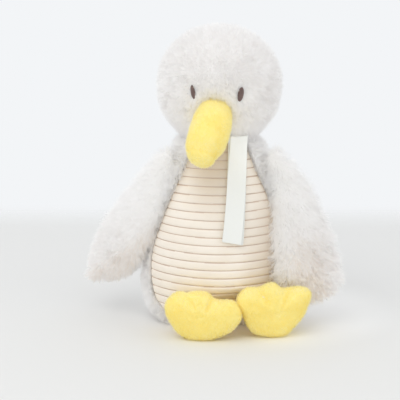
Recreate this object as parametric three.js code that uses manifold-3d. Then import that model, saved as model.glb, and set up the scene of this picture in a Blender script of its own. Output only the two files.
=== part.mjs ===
// A sitting plush sea bird with a round fluffy head, a drooping stuffed beak, a ribbed belly panel,
// two long wings, two webbed feet and a bare ribbon loop sewn into the neck seam.
// Millimetres, +Z up, the bird looks along -Y, the origin is on the floor under the middle of its body.

import * as THREE from "three";
import { mergeVertices } from "three/addons/utils/BufferGeometryUtils.js";
import Module from "manifold-3d";

const wasm = await Module();
wasm.setup();

// Fabric and clearances
const COVER = 1.8; // thickness of the plush cover fabric
const SEAM = 0.3; // gap between two panels at their seam
const FILL_GAP = 0.6; // gap between a cover and the stuffing inside it
const JOINT_GAP = 0.4; // running gap where two stuffed parts move against each other
const SEGMENTS = 28; // points round the body and the head
const FAR = 300; // reach of the cutting blocks, past every side of the bird
const SMALLEST_REACH = 0.6; // least half width of a ring
const BALL_SEGMENTS = { round: 20, up: 14 };
const CAP_ANGLES = [25, 50, 75]; // rings of a rounded end, degrees from its widest place

// Body: half width, depth in front and depth behind at each height
const NECK_SEAM_Z = 147;
const BODY_LEVELS = [
  { z: 0, side: 41, front: 36, back: 36 },
  { z: 3, side: 47.5, front: 41, back: 40.5 },
  { z: 10, side: 54, front: 46, back: 44.5 },
  { z: 22, side: 57.5, front: 50, back: 48 },
  { z: 38, side: 58, front: 51.5, back: 48.5 },
  { z: 56, side: 56, front: 51, back: 47.5 },
  { z: 76, side: 52.5, front: 48.5, back: 45 },
  { z: 96, side: 49, front: 44.5, back: 41.5 },
  { z: 116, side: 44, front: 38.5, back: 36.5 },
  { z: 132, side: 36.8, front: 32.5, back: 31.5 },
  { z: NECK_SEAM_Z, side: 27, front: 26.5, back: 26.5 },
];
const BODY_RINGS = 14;
const BASE_SEAM_Z = 6; // height of the seam round the base panel

// Belly panel: half width of its front view at each height, and its ribs
const BELLY_TOP_Z = 143;
const BELLY_HALF_WIDTHS = [
  { z: BASE_SEAM_Z, half: 38 },
  { z: 12, half: 42 },
  { z: 22, half: 50 },
  { z: 42, half: 53.5 },
  { z: 62, half: 51.5 },
  { z: 84, half: 44.5 },
  { z: 104, half: 37 },
  { z: 124, half: 28 },
  { z: BELLY_TOP_Z, half: 20 },
];
const RIB_PITCH = 6.3;
const RIB_DEPTH = 1;
const RIB_GROOVE_SHARE = 0.2; // share of the pitch on each side of a groove that slopes down to it
const BELLY_SIDE_Y = -4; // the panel's side seams stay in front of this plane
const BELLY_EDGE_STEPS = 24;

// Pellet bag: a flat round bag on the base panel that keeps the bird sitting
const PELLET_BAG = { radius: 31, height: 20, y: 2, settle: 1.5, round: 20, up: 10 };

// Neck joint: dome of the body, stuffing pad, hollow of the head, all round one point
const NECK_PIVOT_Z = 118;
const NECK_RADIUS = 27.5; // of the neck at its seam
const NECK_BALL_RADIUS = Math.hypot(NECK_RADIUS, NECK_SEAM_Z - NECK_PIVOT_Z);
const NECK_PAD_THICKNESS = 4;
const NECK_PAD_ANGLE = 31; // half angle of the pad, degrees
const NECK_PAD_BANDS = 4;

// Head: half width and half depth at each height, turned a little to the bird's right
const HEAD_TURN = -4.4; // degrees about Z
const HEAD_TOP_Z = 230;
const HEAD_SEAM_GAP = 0.6; // between the body and the head at the neck seam
const HEAD_LEVELS = [
  { z: NECK_SEAM_Z + HEAD_SEAM_GAP, side: 28.2, front: 27.6, back: 27.8 },
  { z: 153, side: 31, front: 30, back: 30.5 },
  { z: 161, side: 36.5, front: 34.8, back: 35.5 },
  { z: 171, side: 41.4, front: 39, back: 39.8 },
  { z: 180, side: 43.8, front: 41.2, back: 41.9 },
  { z: 190, side: 44.3, front: 41.6, back: 42.3 },
  { z: 198, side: 43, front: 40.5, back: 41.2 },
  { z: 205, side: 40.5, front: 38.2, back: 39 },
  { z: 212, side: 36.2, front: 34.2, back: 35 },
  { z: 219, side: 29.6, front: 28, back: 28.7 },
  { z: 225.5, side: 19.5, front: 18.4, back: 19 },
  { z: 229, side: 9.5, front: 9, back: 9.2 },
  { z: HEAD_TOP_Z, side: 1, front: 1, back: 1 },
];
const HEAD_RINGS = 12;
const GUSSET_HALF_WIDTH = 13;
const SOCKET_SEGMENTS = { round: 32, up: 20, beakRound: 24, beakUp: 12 };
const FILL_SOCKET_GAP = 1.4; // gap between the head's stuffing and the balls it sits round

// Eyes: flat embroidered ovals
const EYES = [
  { name: "left", x: 18.4, z: 184.7, width: 4.4, height: 10.8, lean: 9 },
  { name: "right", x: -17.6, z: 186.2, width: 3.6, height: 10.4, lean: -10 },
];
const EYE_THICKNESS = 1.2;
const EYE_SEGMENTS = 20;

// Beak: a stuffed tube on a bent centre line that hangs from its root on the face
const BEAK_ROOT = new THREE.Vector3(-3.5, -37, 170.5);
const BEAK_ROOT_RADIUS = 15.2;
const BEAK_BENDS = [
  new THREE.Vector3(-6.2, -50.5, 163),
  new THREE.Vector3(-10.4, -62.5, 152),
  new THREE.Vector3(-13.8, -68.5, 143),
];
const BEAK_RADII = [15.2, 15.9, 15, 10.5]; // at the root and at each bend
const BEAK_COVER = 1.2;
const BEAK_RINGS = 7;
const BEAK_SEGMENTS = 16;
const BEAK_MOUTH = 1.25; // how much longer the hollow's root end is, so that the cover stays open there
const BEAK_LINE_STEPS = 10;

// Wings: leaf-shaped, each hung from a round root at its shoulder, and each settled in its own outline
const WING_ROOT_Z = 128;
const WING_OUTLINES = {
  right: [
    { s: 0, half: 8.4, thick: 4.4, shift: 0.2 },
    { s: 10, half: 12, thick: 5.6, shift: -0.8 },
    { s: 24, half: 16, thick: 7.4, shift: -0.6 },
    { s: 42, half: 19.3, thick: 8.6, shift: 0.2 },
    { s: 60, half: 21.7, thick: 9, shift: 0.9 },
    { s: 78, half: 22.2, thick: 8.6, shift: 3 },
    { s: 93, half: 19.6, thick: 7.4, shift: 5.4 },
    { s: 103, half: 14.8, thick: 5.8, shift: 7.7 },
    { s: 109, half: 9.6, thick: 4.4, shift: 9.2 },
    { s: 113, half: 5, thick: 2.8, shift: 10 },
  ],
  left: [
    { s: 0, half: 8.8, thick: 4.4, shift: 1.2 },
    { s: 10, half: 12, thick: 5.6, shift: 4.2 },
    { s: 24, half: 15.9, thick: 7.4, shift: 5.2 },
    { s: 42, half: 19.4, thick: 8.6, shift: 3.6 },
    { s: 60, half: 23, thick: 9, shift: 1.8 },
    { s: 78, half: 25, thick: 8.6, shift: 0.6 },
    { s: 93, half: 24, thick: 7.4, shift: 1 },
    { s: 103, half: 19, thick: 5.6, shift: 2.8 },
    { s: 108, half: 10, thick: 3.4, shift: 5 },
  ],
};
const WING_TIP_REACH = 2; // how far the rounded tip goes on past the last line of an outline
const WING_CAP_ANGLES = [70, 35]; // rings of the rounded root, degrees from its widest place
const WING_COVER = 1.5;
const WING_RINGS = 9;
const WING_RING_POWER = 0.9; // gathers the rings towards the tip
const WING_SEGMENTS = 16;
const WINGS = [
  { name: "right", side: -1, x: 42, y: -15.5, spread: 26, lean: -9, twist: 41 },
  { name: "left", side: 1, x: 43.2, y: -19, spread: 17.5, lean: 8, twist: 16 },
];

// Feet: scalloped webbed pads that stand on their heels, each on a short leg
const FOOT_HALF_THICKNESS = 9.5;
const FOOT_COVER = 1.2;
const FOOT_RINGS = 6;
const FOOT_SEGMENTS = 26;
const FOOT_RIM_ANGLE = 78; // how far the rings go towards the sole and the top, degrees
const FOOT_PLUMPNESS = 0.62; // below 1 the pad keeps its width nearer to its flat sides
const FOOT_HEEL_RADIUS = 19.6;
const FOOT_OUTLINES = {
  right: [
    { angle: -90, radius: FOOT_HEEL_RADIUS },
    { angle: -43, radius: 23.4 },
    { angle: -17, radius: 25.6 },
    { angle: 14, radius: 29.4 },
    { angle: 38, radius: 26.8 },
    { angle: 58, radius: 19.8 },
    { angle: 96, radius: 17.4 },
    { angle: 134, radius: 15.8 },
    { angle: 158, radius: 26.4 },
    { angle: 179, radius: 29.2 },
    { angle: 203, radius: 25 },
    { angle: 237, radius: 20.2 },
  ],
  left: [
    { angle: -90, radius: FOOT_HEEL_RADIUS },
    { angle: -52, radius: 18 },
    { angle: -20, radius: 20.8 },
    { angle: 0, radius: 25.4 },
    { angle: 20, radius: 30.6 },
    { angle: 42, radius: 24 },
    { angle: 65, radius: 18.6 },
    { angle: 88, radius: 23 },
    { angle: 114, radius: 23.4 },
    { angle: 132, radius: 30.4 },
    { angle: 151, radius: 32 },
    { angle: 173, radius: 26 },
    { angle: 205, radius: 23.4 },
    { angle: 236, radius: 20 },
  ],
};
const FEET = [
  { name: "right", x: -13, y: -63.5, turn: -7, mirror: -1, roll: 0 },
  { name: "left", x: 42.8, y: -55.5, turn: 11, mirror: 1, roll: 9 },
];
const FOOT_SINK = 0.5; // how much of the heel is pressed flat on the floor
const FOOT_CENTRE_Z = FOOT_HEEL_RADIUS - FOOT_SINK;
const ANKLE_Z = 9.5;
const ANKLE_SWING = [0, 15, 30, 45, 60, 75]; // steps of a foot that tips forward, degrees
const LEG_RADIUS = 7.5;
const LEG_COVER = 1.2;
const LEG_SEGMENTS = 12;
const LEG_INSIDE = 7; // how far a leg reaches into the body
const LEG_MOUTH = 9; // half length of the open end inside the foot

// Ribbon: one length folded double, sewn into the neck seam at its two ends
const RIBBON_WIDTH = 15;
const RIBBON_PLY = 0.5;
const RIBBON_PLY_GAP = 0.7; // air between its two layers
const RIBBON_DRAPE = [
  { x: 13.6, y: -27.5, z: 143.6, turn: 26 },
  { x: 13.4, y: -31.9, z: 136, turn: 22 },
  { x: 13, y: -37.2, z: 124, turn: 17 },
  { x: 12.4, y: -43.9, z: 106, turn: 13 },
  { x: 11.6, y: -48.3, z: 89, turn: 10 },
  { x: 10.6, y: -51, z: 74, turn: 8 },
];
const RIBBON_STEPS = 11;
const RIBBON_FOLD_STEPS = 4;

// Colours, roughness
const FINISHES = {
  plush: { color: 0xe9e5e1, roughness: 0.95 },
  ribbed: { color: 0xebdfd1, roughness: 0.9 },
  yellow: { color: 0xfbe98f, roughness: 0.85 },
  brown: { color: 0x6b554c, roughness: 0.7 },
  ribbon: { color: 0xf1f2ee, roughness: 0.45 },
  stuffing: { color: 0xf6f5f1, roughness: 1 },
  pellets: { color: 0xddd8cc, roughness: 0.9 },
};

const bird = new THREE.Group();

// Smooth value of one field of a list of stations, at a place along them (monotone cubic)
function smoothAt(stations, key, place, field) {
  const last = stations.length - 1;
  if (place <= stations[0][key]) return stations[0][field];
  if (place >= stations[last][key]) return stations[last][field];
  const i = stations.findIndex((station) => station[key] > place) - 1;
  const slope = (j) => {
    const a = stations[Math.max(j - 1, 0)];
    const b = stations[Math.min(j + 1, last)];
    return (b[field] - a[field]) / (b[key] - a[key]);
  };
  const p = stations[i];
  const q = stations[i + 1];
  const step = q[key] - p[key];
  const t = (place - p[key]) / step;
  const rise = t * t * (3 - 2 * t);
  return (
    p[field] * (1 - rise) +
    q[field] * rise +
    step * (t * (1 - t) * (1 - t) * slope(i) - t * t * (1 - t) * slope(i + 1))
  );
}

// Geometry and solids
function geometryOf(points, faces) {
  const geometry = new THREE.BufferGeometry();
  geometry.setAttribute(
    "position",
    new THREE.Float32BufferAttribute(
      points.flatMap((p) => [p.x, p.y, p.z]),
      3,
    ),
  );
  geometry.setIndex(faces.flat());
  return geometry;
}

function solidOf(geometry) {
  const bare = geometry.clone();
  bare.deleteAttribute("normal");
  bare.deleteAttribute("uv");
  const merged = mergeVertices(bare, 1e-4);
  return new wasm.Manifold(
    new wasm.Mesh({
      numProp: 3,
      vertProperties: new Float32Array(merged.attributes.position.array),
      triVerts: new Uint32Array(merged.index.array),
    }),
  );
}

// A solid moved by a frame, with its faces turned back where the frame mirrors
function placedSolid(geometry, frame) {
  const moved = geometry.clone().applyMatrix4(frame);
  if (frame.determinant() < 0) {
    const index = moved.index.array;
    for (let i = 0; i < index.length; i += 3) {
      [index[i + 1], index[i + 2]] = [index[i + 2], index[i + 1]];
    }
  }
  return solidOf(moved);
}

function geometryFromSolid(solid) {
  const mesh = solid.getMesh();
  const geometry = new THREE.BufferGeometry();
  geometry.setAttribute("position", new THREE.BufferAttribute(new Float32Array(mesh.vertProperties), 3));
  geometry.setIndex(new THREE.BufferAttribute(new Uint32Array(mesh.triVerts), 1));
  return geometry;
}

// A closed skin over rings of points, each ring counter-clockwise seen from the end of the row
function skinOfRings(rings) {
  const count = rings[0].length;
  const points = rings.flat();
  const faces = [];
  for (let r = 0; r < rings.length - 1; r++) {
    for (let i = 0; i < count; i++) {
      const a = r * count + i;
      const b = r * count + ((i + 1) % count);
      faces.push([a, b, b + count], [a, b + count, a + count]);
    }
  }
  [rings[0], rings[rings.length - 1]].forEach((ring, end) => {
    const centre = ring.reduce((sum, p) => sum.add(p), new THREE.Vector3()).divideScalar(count);
    points.push(centre);
    const hub = points.length - 1;
    const start = end ? (rings.length - 1) * count : 0;
    for (let i = 0; i < count; i++) {
      const a = start + i;
      const b = start + ((i + 1) % count);
      faces.push(end ? [a, b, hub] : [b, a, hub]);
    }
  });
  return geometryOf(points, faces);
}

function addPiece(name, shape, finish, frame) {
  const geometry = shape.isBufferGeometry ? shape : geometryFromSolid(shape);
  if (frame) geometry.applyMatrix4(frame);
  geometry.computeVertexNormals();
  const { color, roughness } = FINISHES[finish];
  const mesh = new THREE.Mesh(geometry, new THREE.MeshStandardMaterial({ color, roughness, metalness: 0 }));
  mesh.name = name;
  bird.add(mesh);
}

// A cutting block between the given planes, open-ended where none is given
function block({ x0 = -FAR, x1 = FAR, y0 = -FAR, y1 = FAR, z0 = -FAR, z1 = FAR }) {
  const geometry = new THREE.BoxGeometry(x1 - x0, y1 - y0, z1 - z0);
  geometry.translate((x0 + x1) / 2, (y0 + y1) / 2, (z0 + z1) / 2);
  return solidOf(geometry);
}

function ball(centre, radius, round = BALL_SEGMENTS.round, up = BALL_SEGMENTS.up) {
  const geometry = new THREE.SphereGeometry(radius, round, up);
  geometry.rotateX(Math.PI / 2);
  geometry.translate(centre.x, centre.y, centre.z);
  return solidOf(geometry);
}

// Ring of an egg-shaped section at one height, drawn in by an inset, with an optional swell
function levelRing(levels, z, inset, placeZ, swell = 0) {
  const reach = (field) => Math.max(SMALLEST_REACH, smoothAt(levels, "z", z, field) - inset + swell);
  const side = reach("side");
  const front = reach("front");
  const back = reach("back");
  return Array.from({ length: SEGMENTS }, (_, i) => {
    const angle = (i / SEGMENTS) * 2 * Math.PI;
    const depth = Math.sin(angle) < 0 ? front : back;
    return new THREE.Vector3(side * Math.cos(angle), depth * Math.sin(angle), placeZ);
  });
}

// Heights from low to high, closer together near both ends
function easedHeights(low, high, count) {
  return Array.from({ length: count }, (_, i) => {
    const t = i / (count - 1);
    return low + (high - low) * (0.5 * t + 0.5 * (0.5 - 0.5 * Math.cos(Math.PI * t)));
  });
}

function levelSolid(levels, low, high, count, inset) {
  const lowest = levels[0].z;
  const highest = levels[levels.length - 1].z;
  const squeeze = (z) => lowest + ((z - low) / (high - low)) * (highest - lowest);
  return solidOf(
    skinOfRings(easedHeights(low, high, count).map((z) => levelRing(levels, squeeze(z), inset, z))),
  );
}

const neckPivot = new THREE.Vector3(0, 0, NECK_PIVOT_Z);

// Stands a bar along Y up on the neck pivot
const uprightFrame = new THREE.Matrix4()
  .makeTranslation(0, 0, NECK_PIVOT_Z)
  .multiply(new THREE.Matrix4().makeRotationX(Math.PI / 2));

// Body
const bodyOuter = levelSolid(BODY_LEVELS, 0, NECK_SEAM_Z, BODY_RINGS, 0);
const bodyInner = levelSolid(BODY_LEVELS, COVER, NECK_SEAM_Z + 1, BODY_RINGS, COVER);

// The neck's ball with all that lies below its widest place, to trim what belongs to the body
function underNeckBall(radius) {
  return ball(neckPivot, radius).add(block({ z1: NECK_PIVOT_Z + radius / 3 }));
}

function bellyOutline(grow) {
  const shape = new THREE.Shape();
  const low = BASE_SEAM_Z - grow;
  const high = BELLY_TOP_Z + grow;
  const edge = Array.from({ length: BELLY_EDGE_STEPS + 1 }, (_, i) => {
    const z = low + ((high - low) * i) / BELLY_EDGE_STEPS;
    return [smoothAt(BELLY_HALF_WIDTHS, "z", z, "half") + grow, z];
  });
  edge.forEach(([half, z], i) => (i ? shape.lineTo(half, z) : shape.moveTo(half, z)));
  edge.reverse().forEach(([half, z]) => shape.lineTo(-half, z));
  return shape;
}

// A prism through the front of the body with the belly panel's outline
function bellyPrism(grow) {
  const geometry = new THREE.ExtrudeGeometry(bellyOutline(grow), { depth: FAR, bevelEnabled: false });
  geometry.rotateX(Math.PI / 2);
  geometry.translate(0, BELLY_SIDE_Y + grow, 0);
  return solidOf(geometry);
}

// The body with its ribbed panel, grown by the running gap and by an inset, to keep the wings clear of it
function aroundBody(inset) {
  const gap = JOINT_GAP + inset;
  const grown = (swell) => levelSolid(BODY_LEVELS, -1, NECK_SEAM_Z, BODY_RINGS, -swell);
  return grown(gap).add(grown(gap + RIB_DEPTH).intersect(bellyPrism(gap)));
}

// The body's skin with ribs running round it
function ribbedOuter() {
  const shares = [0, RIB_GROOVE_SHARE, 1 - RIB_GROOVE_SHARE];
  const rings = [];
  for (let groove = 0; groove < NECK_SEAM_Z; groove += RIB_PITCH) {
    shares.forEach((share, i) => {
      const z = groove + share * RIB_PITCH;
      if (z <= NECK_SEAM_Z) rings.push(levelRing(BODY_LEVELS, z, 0, z, i ? RIB_DEPTH : 0));
    });
  }
  return solidOf(skinOfRings(rings));
}

function bodySurfaceY(x, z) {
  const side = smoothAt(BODY_LEVELS, "z", z, "side");
  const front = smoothAt(BODY_LEVELS, "z", z, "front");
  return -front * Math.sqrt(Math.max(0, 1 - (x / side) ** 2));
}

// A round bar along Y
function rod(radius, x, y0, y1, z) {
  const geometry = new THREE.CylinderGeometry(radius, radius, y1 - y0, LEG_SEGMENTS);
  geometry.translate(x, (y0 + y1) / 2, z);
  return solidOf(geometry);
}

// The stub of a leg from inside the body to the middle of its foot, drawn in by an inset
function legRod(foot, inset) {
  const rootY = bodySurfaceY(foot.x, ANKLE_Z) + LEG_INSIDE;
  return rod(LEG_RADIUS - inset, foot.x, foot.y, rootY - inset, ANKLE_Z);
}

function pelletBag(grow) {
  const geometry = new THREE.SphereGeometry(1, PELLET_BAG.round, PELLET_BAG.up);
  geometry.scale(PELLET_BAG.radius + grow, PELLET_BAG.height / 2 + grow, PELLET_BAG.radius + grow);
  geometry.rotateX(Math.PI / 2);
  geometry.translate(0, PELLET_BAG.y, COVER + FILL_GAP + PELLET_BAG.height / 2 - PELLET_BAG.settle);
  return solidOf(geometry);
}

function buildBody() {
  const legHoles = FEET.map((foot) => legRod(foot, -SEAM)).reduce((all, hole) => all.add(hole));
  const neckTrim = underNeckBall(NECK_BALL_RADIUS);
  const cover = bodyOuter.subtract(bodyInner).intersect(neckTrim).subtract(legHoles);
  const belly = ribbedOuter()
    .subtract(bodyInner)
    .intersect(neckTrim)
    .intersect(bellyPrism(-SEAM / 2))
    .subtract(legHoles);
  addPiece("belly_panel", belly, "ribbed");
  const back = cover.intersect(block({ z0: BASE_SEAM_Z + SEAM / 2 })).subtract(bellyPrism(SEAM / 2));
  addPiece("body_panel_right", back.intersect(block({ x1: -SEAM / 2 })), "plush");
  addPiece("body_panel_left", back.intersect(block({ x0: SEAM / 2 })), "plush");
  addPiece("base_panel", cover.intersect(block({ z1: BASE_SEAM_Z - SEAM / 2 })), "plush");

  const inset = COVER + FILL_GAP;
  const domeRadius = NECK_BALL_RADIUS - NECK_PAD_THICKNESS - JOINT_GAP;
  const bulk = levelSolid(BODY_LEVELS, inset, NECK_SEAM_Z + 1, BODY_RINGS, inset);
  const neckColumn = rod(NECK_RADIUS - inset - JOINT_GAP, 0, 0, NECK_BALL_RADIUS, 0);
  const dome = ball(neckPivot, domeRadius).intersect(neckColumn.transform(uprightFrame.elements));
  const stuffing = bulk
    .add(dome)
    .intersect(underNeckBall(domeRadius))
    .subtract(pelletBag(FILL_GAP))
    .subtract(legHoles);
  addPiece("body_stuffing", stuffing, "stuffing");
  addPiece("pellet_bag", pelletBag(0).intersect(block({ z0: inset })), "pellets");
}

// A stuffed pad in the neck that turns with the head and lets it nod
function buildNeck() {
  const widest = THREE.MathUtils.degToRad(NECK_PAD_ANGLE);
  const rings = (radius) =>
    Array.from({ length: NECK_PAD_BANDS }, (_, k) => {
      const angle = (widest * (k + 1)) / NECK_PAD_BANDS;
      const z = NECK_PIVOT_Z + radius * Math.cos(angle);
      const reach = radius * Math.sin(angle);
      return Array.from({ length: SEGMENTS }, (_, i) => {
        const turn = (i / SEGMENTS) * 2 * Math.PI;
        return new THREE.Vector3(reach * Math.cos(turn), reach * Math.sin(turn), z);
      });
    });
  const inner = rings(NECK_BALL_RADIUS - NECK_PAD_THICKNESS);
  const outer = rings(NECK_BALL_RADIUS).reverse();
  addPiece("neck_stuffing", solidOf(skinOfRings([...inner, ...outer])), "stuffing");
}

// Head
function headFrame() {
  return new THREE.Matrix4().makeRotationZ(THREE.MathUtils.degToRad(HEAD_TURN));
}

function headSolid(inset) {
  const low = HEAD_LEVELS[0].z - (inset > 0 ? 1 : 0);
  return levelSolid(HEAD_LEVELS, low, HEAD_TOP_Z - inset, HEAD_RINGS, inset);
}

function buildHead() {
  const frame = headFrame();
  const beakPlace = BEAK_ROOT.clone().applyMatrix4(frame.clone().invert());
  const { round, up, beakRound, beakUp } = SOCKET_SEGMENTS;
  const hollow = (gap, share) =>
    ball(neckPivot, NECK_BALL_RADIUS + gap, round * share, up * share).add(
      ball(beakPlace, BEAK_ROOT_RADIUS + gap, beakRound * share, beakUp * share),
    );
  const cover = headSolid(0).subtract(headSolid(COVER)).subtract(hollow(JOINT_GAP, 1));
  const chin = block({ y1: 0, z1: beakPlace.z });
  const crown = block({ x0: -GUSSET_HALF_WIDTH, x1: GUSSET_HALF_WIDTH }).subtract(chin);
  const sideCut = block({ x0: -GUSSET_HALF_WIDTH - SEAM, x1: GUSSET_HALF_WIDTH + SEAM }).subtract(
    block({ y1: -SEAM, z1: beakPlace.z - SEAM }),
  );
  const sides = cover.subtract(sideCut);
  addPiece("head_gusset", cover.intersect(crown), "plush", frame);
  addPiece("head_side_right", sides.intersect(block({ x1: -SEAM / 2 })), "plush", frame);
  addPiece("head_side_left", sides.intersect(block({ x0: SEAM / 2 })), "plush", frame);
  const stuffing = headSolid(COVER + FILL_GAP).subtract(hollow(FILL_SOCKET_GAP, 1 / 2));
  addPiece("head_stuffing", stuffing, "stuffing", frame);

  const raised = headSolid(-SEAM - EYE_THICKNESS).subtract(headSolid(-SEAM));
  EYES.forEach((eye) => {
    const oval = new THREE.CylinderGeometry(1 / 2, 1 / 2, FAR, EYE_SEGMENTS);
    oval.scale(eye.width, 1, eye.height);
    oval.rotateY(THREE.MathUtils.degToRad(eye.lean));
    oval.translate(eye.x, -FAR / 2, eye.z);
    addPiece("eye_embroidery_" + eye.name, raised.intersect(solidOf(oval)), "brown", frame);
  });
}

// Beak
const beakLine = new THREE.CatmullRomCurve3([BEAK_ROOT, ...BEAK_BENDS], false, "catmullrom", 0.5);

// Rings of the beak from the back of its root ball to its tip, drawn in by an inset
function beakSkin(inset, opened) {
  const across = new THREE.Vector3(1, 0, 0);
  const last = BEAK_RADII.length - 1;
  const ring = (centre, ahead, radius) => {
    const up = new THREE.Vector3().crossVectors(across, ahead).normalize();
    const side = new THREE.Vector3().crossVectors(ahead, up).normalize();
    return Array.from({ length: BEAK_SEGMENTS }, (_, i) => {
      const turn = (i / BEAK_SEGMENTS) * 2 * Math.PI;
      return centre
        .clone()
        .addScaledVector(side, radius * Math.cos(turn))
        .addScaledVector(up, -radius * Math.sin(turn));
    });
  };
  const rings = [];
  const rootAhead = beakLine.getTangent(0);
  const rootRadius = BEAK_ROOT_RADIUS - inset;
  [...CAP_ANGLES].reverse().forEach((degrees) => {
    const angle = THREE.MathUtils.degToRad(degrees);
    const back = -rootRadius * Math.sin(angle) * (opened ? BEAK_MOUTH : 1);
    rings.push(
      ring(BEAK_ROOT.clone().addScaledVector(rootAhead, back), rootAhead, rootRadius * Math.cos(angle)),
    );
  });
  for (let k = 0; k <= BEAK_RINGS; k++) {
    const t = k / BEAK_RINGS;
    const place = t * last;
    const i = Math.min(Math.floor(place), last - 1);
    const radius = THREE.MathUtils.lerp(BEAK_RADII[i], BEAK_RADII[i + 1], place - i) - inset;
    rings.push(ring(beakLine.getPoint(t), beakLine.getTangent(t), radius));
  }
  const tipAhead = beakLine.getTangent(1);
  const tipRadius = BEAK_RADII[last] - inset;
  CAP_ANGLES.forEach((degrees) => {
    const angle = THREE.MathUtils.degToRad(degrees);
    const tip = beakLine.getPoint(1).addScaledVector(tipAhead, tipRadius * Math.sin(angle));
    rings.push(ring(tip, tipAhead, tipRadius * Math.cos(angle)));
  });
  return solidOf(skinOfRings(rings));
}

// All that lies above the beak's centre line, seen from the side, with the line moved by an offset
function aboveBeakLine(offset) {
  const shape = new THREE.Shape();
  const points = beakLine.getPoints(BEAK_LINE_STEPS).map((p) => [p.y, p.z]);
  const beyond = (t, reach) => {
    const end = beakLine.getPoint(t).addScaledVector(beakLine.getTangent(t), reach);
    return [end.y, end.z];
  };
  points.push(beyond(1, 3 * BEAK_ROOT_RADIUS));
  points.unshift(beyond(0, -3 * BEAK_ROOT_RADIUS));
  points.forEach(([y, z], i) => {
    const [py, pz] = points[Math.max(i - 1, 0)];
    const [ny, nz] = points[Math.min(i + 1, points.length - 1)];
    const length = Math.hypot(ny - py, nz - pz);
    const moved = [y - (offset * (pz - nz)) / length, z + (offset * (py - ny)) / length];
    if (i) shape.lineTo(...moved);
    else shape.moveTo(...moved);
  });
  shape.lineTo(-FAR, points[points.length - 1][1]);
  shape.lineTo(-FAR, FAR);
  shape.lineTo(points[0][0], FAR);
  const geometry = new THREE.ExtrudeGeometry(shape, { depth: FAR, bevelEnabled: false });
  geometry.rotateY(Math.PI / 2);
  geometry.rotateX(Math.PI / 2);
  geometry.translate(-FAR / 2, 0, 0);
  return solidOf(geometry);
}

function buildBeak() {
  const cover = beakSkin(0, false).subtract(beakSkin(BEAK_COVER, true));
  addPiece("beak_upper_panel", cover.intersect(aboveBeakLine(SEAM / 2)), "yellow");
  addPiece("beak_lower_panel", cover.subtract(aboveBeakLine(-SEAM / 2)), "yellow");
  addPiece("beak_stuffing", beakSkin(BEAK_COVER + FILL_GAP, false), "stuffing");
}

// Wings
function wingFrame(wing) {
  const radians = THREE.MathUtils.degToRad;
  const side = wing.side;
  return new THREE.Matrix4()
    .makeTranslation(side * wing.x, wing.y, WING_ROOT_Z)
    .multiply(new THREE.Matrix4().makeRotationY(radians(-side * wing.spread)))
    .multiply(new THREE.Matrix4().makeRotationX(radians(-wing.lean)))
    .multiply(new THREE.Matrix4().makeRotationZ(radians(side * wing.twist)))
    .multiply(new THREE.Matrix4().makeScale(side, 1, 1));
}

// A wing that hangs down from its root, its outer edge towards +X, drawn in by an inset
function wingSkin(outline, inset) {
  const first = outline[0];
  const ring = (s, half, thick, shift) =>
    Array.from({ length: WING_SEGMENTS }, (_, i) => {
      const turn = -(i / WING_SEGMENTS) * 2 * Math.PI;
      return new THREE.Vector3(shift + half * Math.cos(turn), thick * Math.sin(turn), -s);
    });
  const rings = [];
  WING_CAP_ANGLES.forEach((degrees) => {
    const angle = THREE.MathUtils.degToRad(degrees);
    const width = Math.cos(angle);
    const half = first.half - inset;
    rings.push(ring(-half * Math.sin(angle), half * width, (first.thick - inset) * width, 0));
  });
  const length = outline[outline.length - 1].s;
  for (let k = 0; k <= WING_RINGS; k++) {
    const s = length * Math.sin((k / WING_RINGS) * (Math.PI / 2)) ** WING_RING_POWER;
    const at = (field) => smoothAt(outline, "s", s, field);
    const drop = s * (1 - inset / (length + WING_TIP_REACH));
    rings.push(ring(drop, at("half") - inset, at("thick") - inset, at("shift")));
  }
  return skinOfRings(rings);
}

function buildWing(wing) {
  const frame = wingFrame(wing);
  const turned = (geometry) => placedSolid(geometry, frame);
  const outline = WING_OUTLINES[wing.name];
  const placed = (inset) => turned(wingSkin(outline, inset)).subtract(aroundBody(inset));
  const half = (facing) => {
    const slab = new THREE.BoxGeometry(FAR, FAR, FAR);
    slab.translate(0, (facing * (FAR + SEAM)) / 2, 0);
    return turned(slab);
  };
  const skin = placed(0).subtract(placed(WING_COVER));
  addPiece("wing_" + wing.name + "_front", skin.intersect(half(-1)), "plush");
  addPiece("wing_" + wing.name + "_back", skin.intersect(half(1)), "plush");
  addPiece("wing_" + wing.name + "_stuffing", placed(WING_COVER + FILL_GAP), "stuffing");
}

// Feet
function footFrame(foot) {
  return new THREE.Matrix4()
    .makeTranslation(foot.x, foot.y, 0)
    .multiply(new THREE.Matrix4().makeRotationZ(THREE.MathUtils.degToRad(foot.turn)));
}

// The pad with its sole towards -Y, drawn in by an inset
function footSkin(inset, { name, mirror, roll }) {
  const outline = FOOT_OUTLINES[name];
  const rim = [...outline, { ...outline[0], angle: outline[0].angle + 360 }];
  const rings = [];
  for (let k = 0; k < FOOT_RINGS; k++) {
    const lift = THREE.MathUtils.degToRad(FOOT_RIM_ANGLE * ((2 * k) / (FOOT_RINGS - 1) - 1));
    const share = Math.cos(lift) ** FOOT_PLUMPNESS;
    const y = (FOOT_HALF_THICKNESS - inset) * Math.sin(lift);
    rings.push(
      Array.from({ length: FOOT_SEGMENTS }, (_, i) => {
        const degrees = -90 + (i / FOOT_SEGMENTS) * 360;
        const radius = (smoothAt(rim, "angle", degrees, "radius") - inset) * share;
        const angle = THREE.MathUtils.degToRad(degrees + roll);
        return new THREE.Vector3(
          mirror * radius * Math.cos(angle),
          -mirror * y,
          FOOT_CENTRE_Z + radius * Math.sin(angle),
        );
      }),
    );
  }
  return solidOf(skinOfRings(rings));
}

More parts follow.
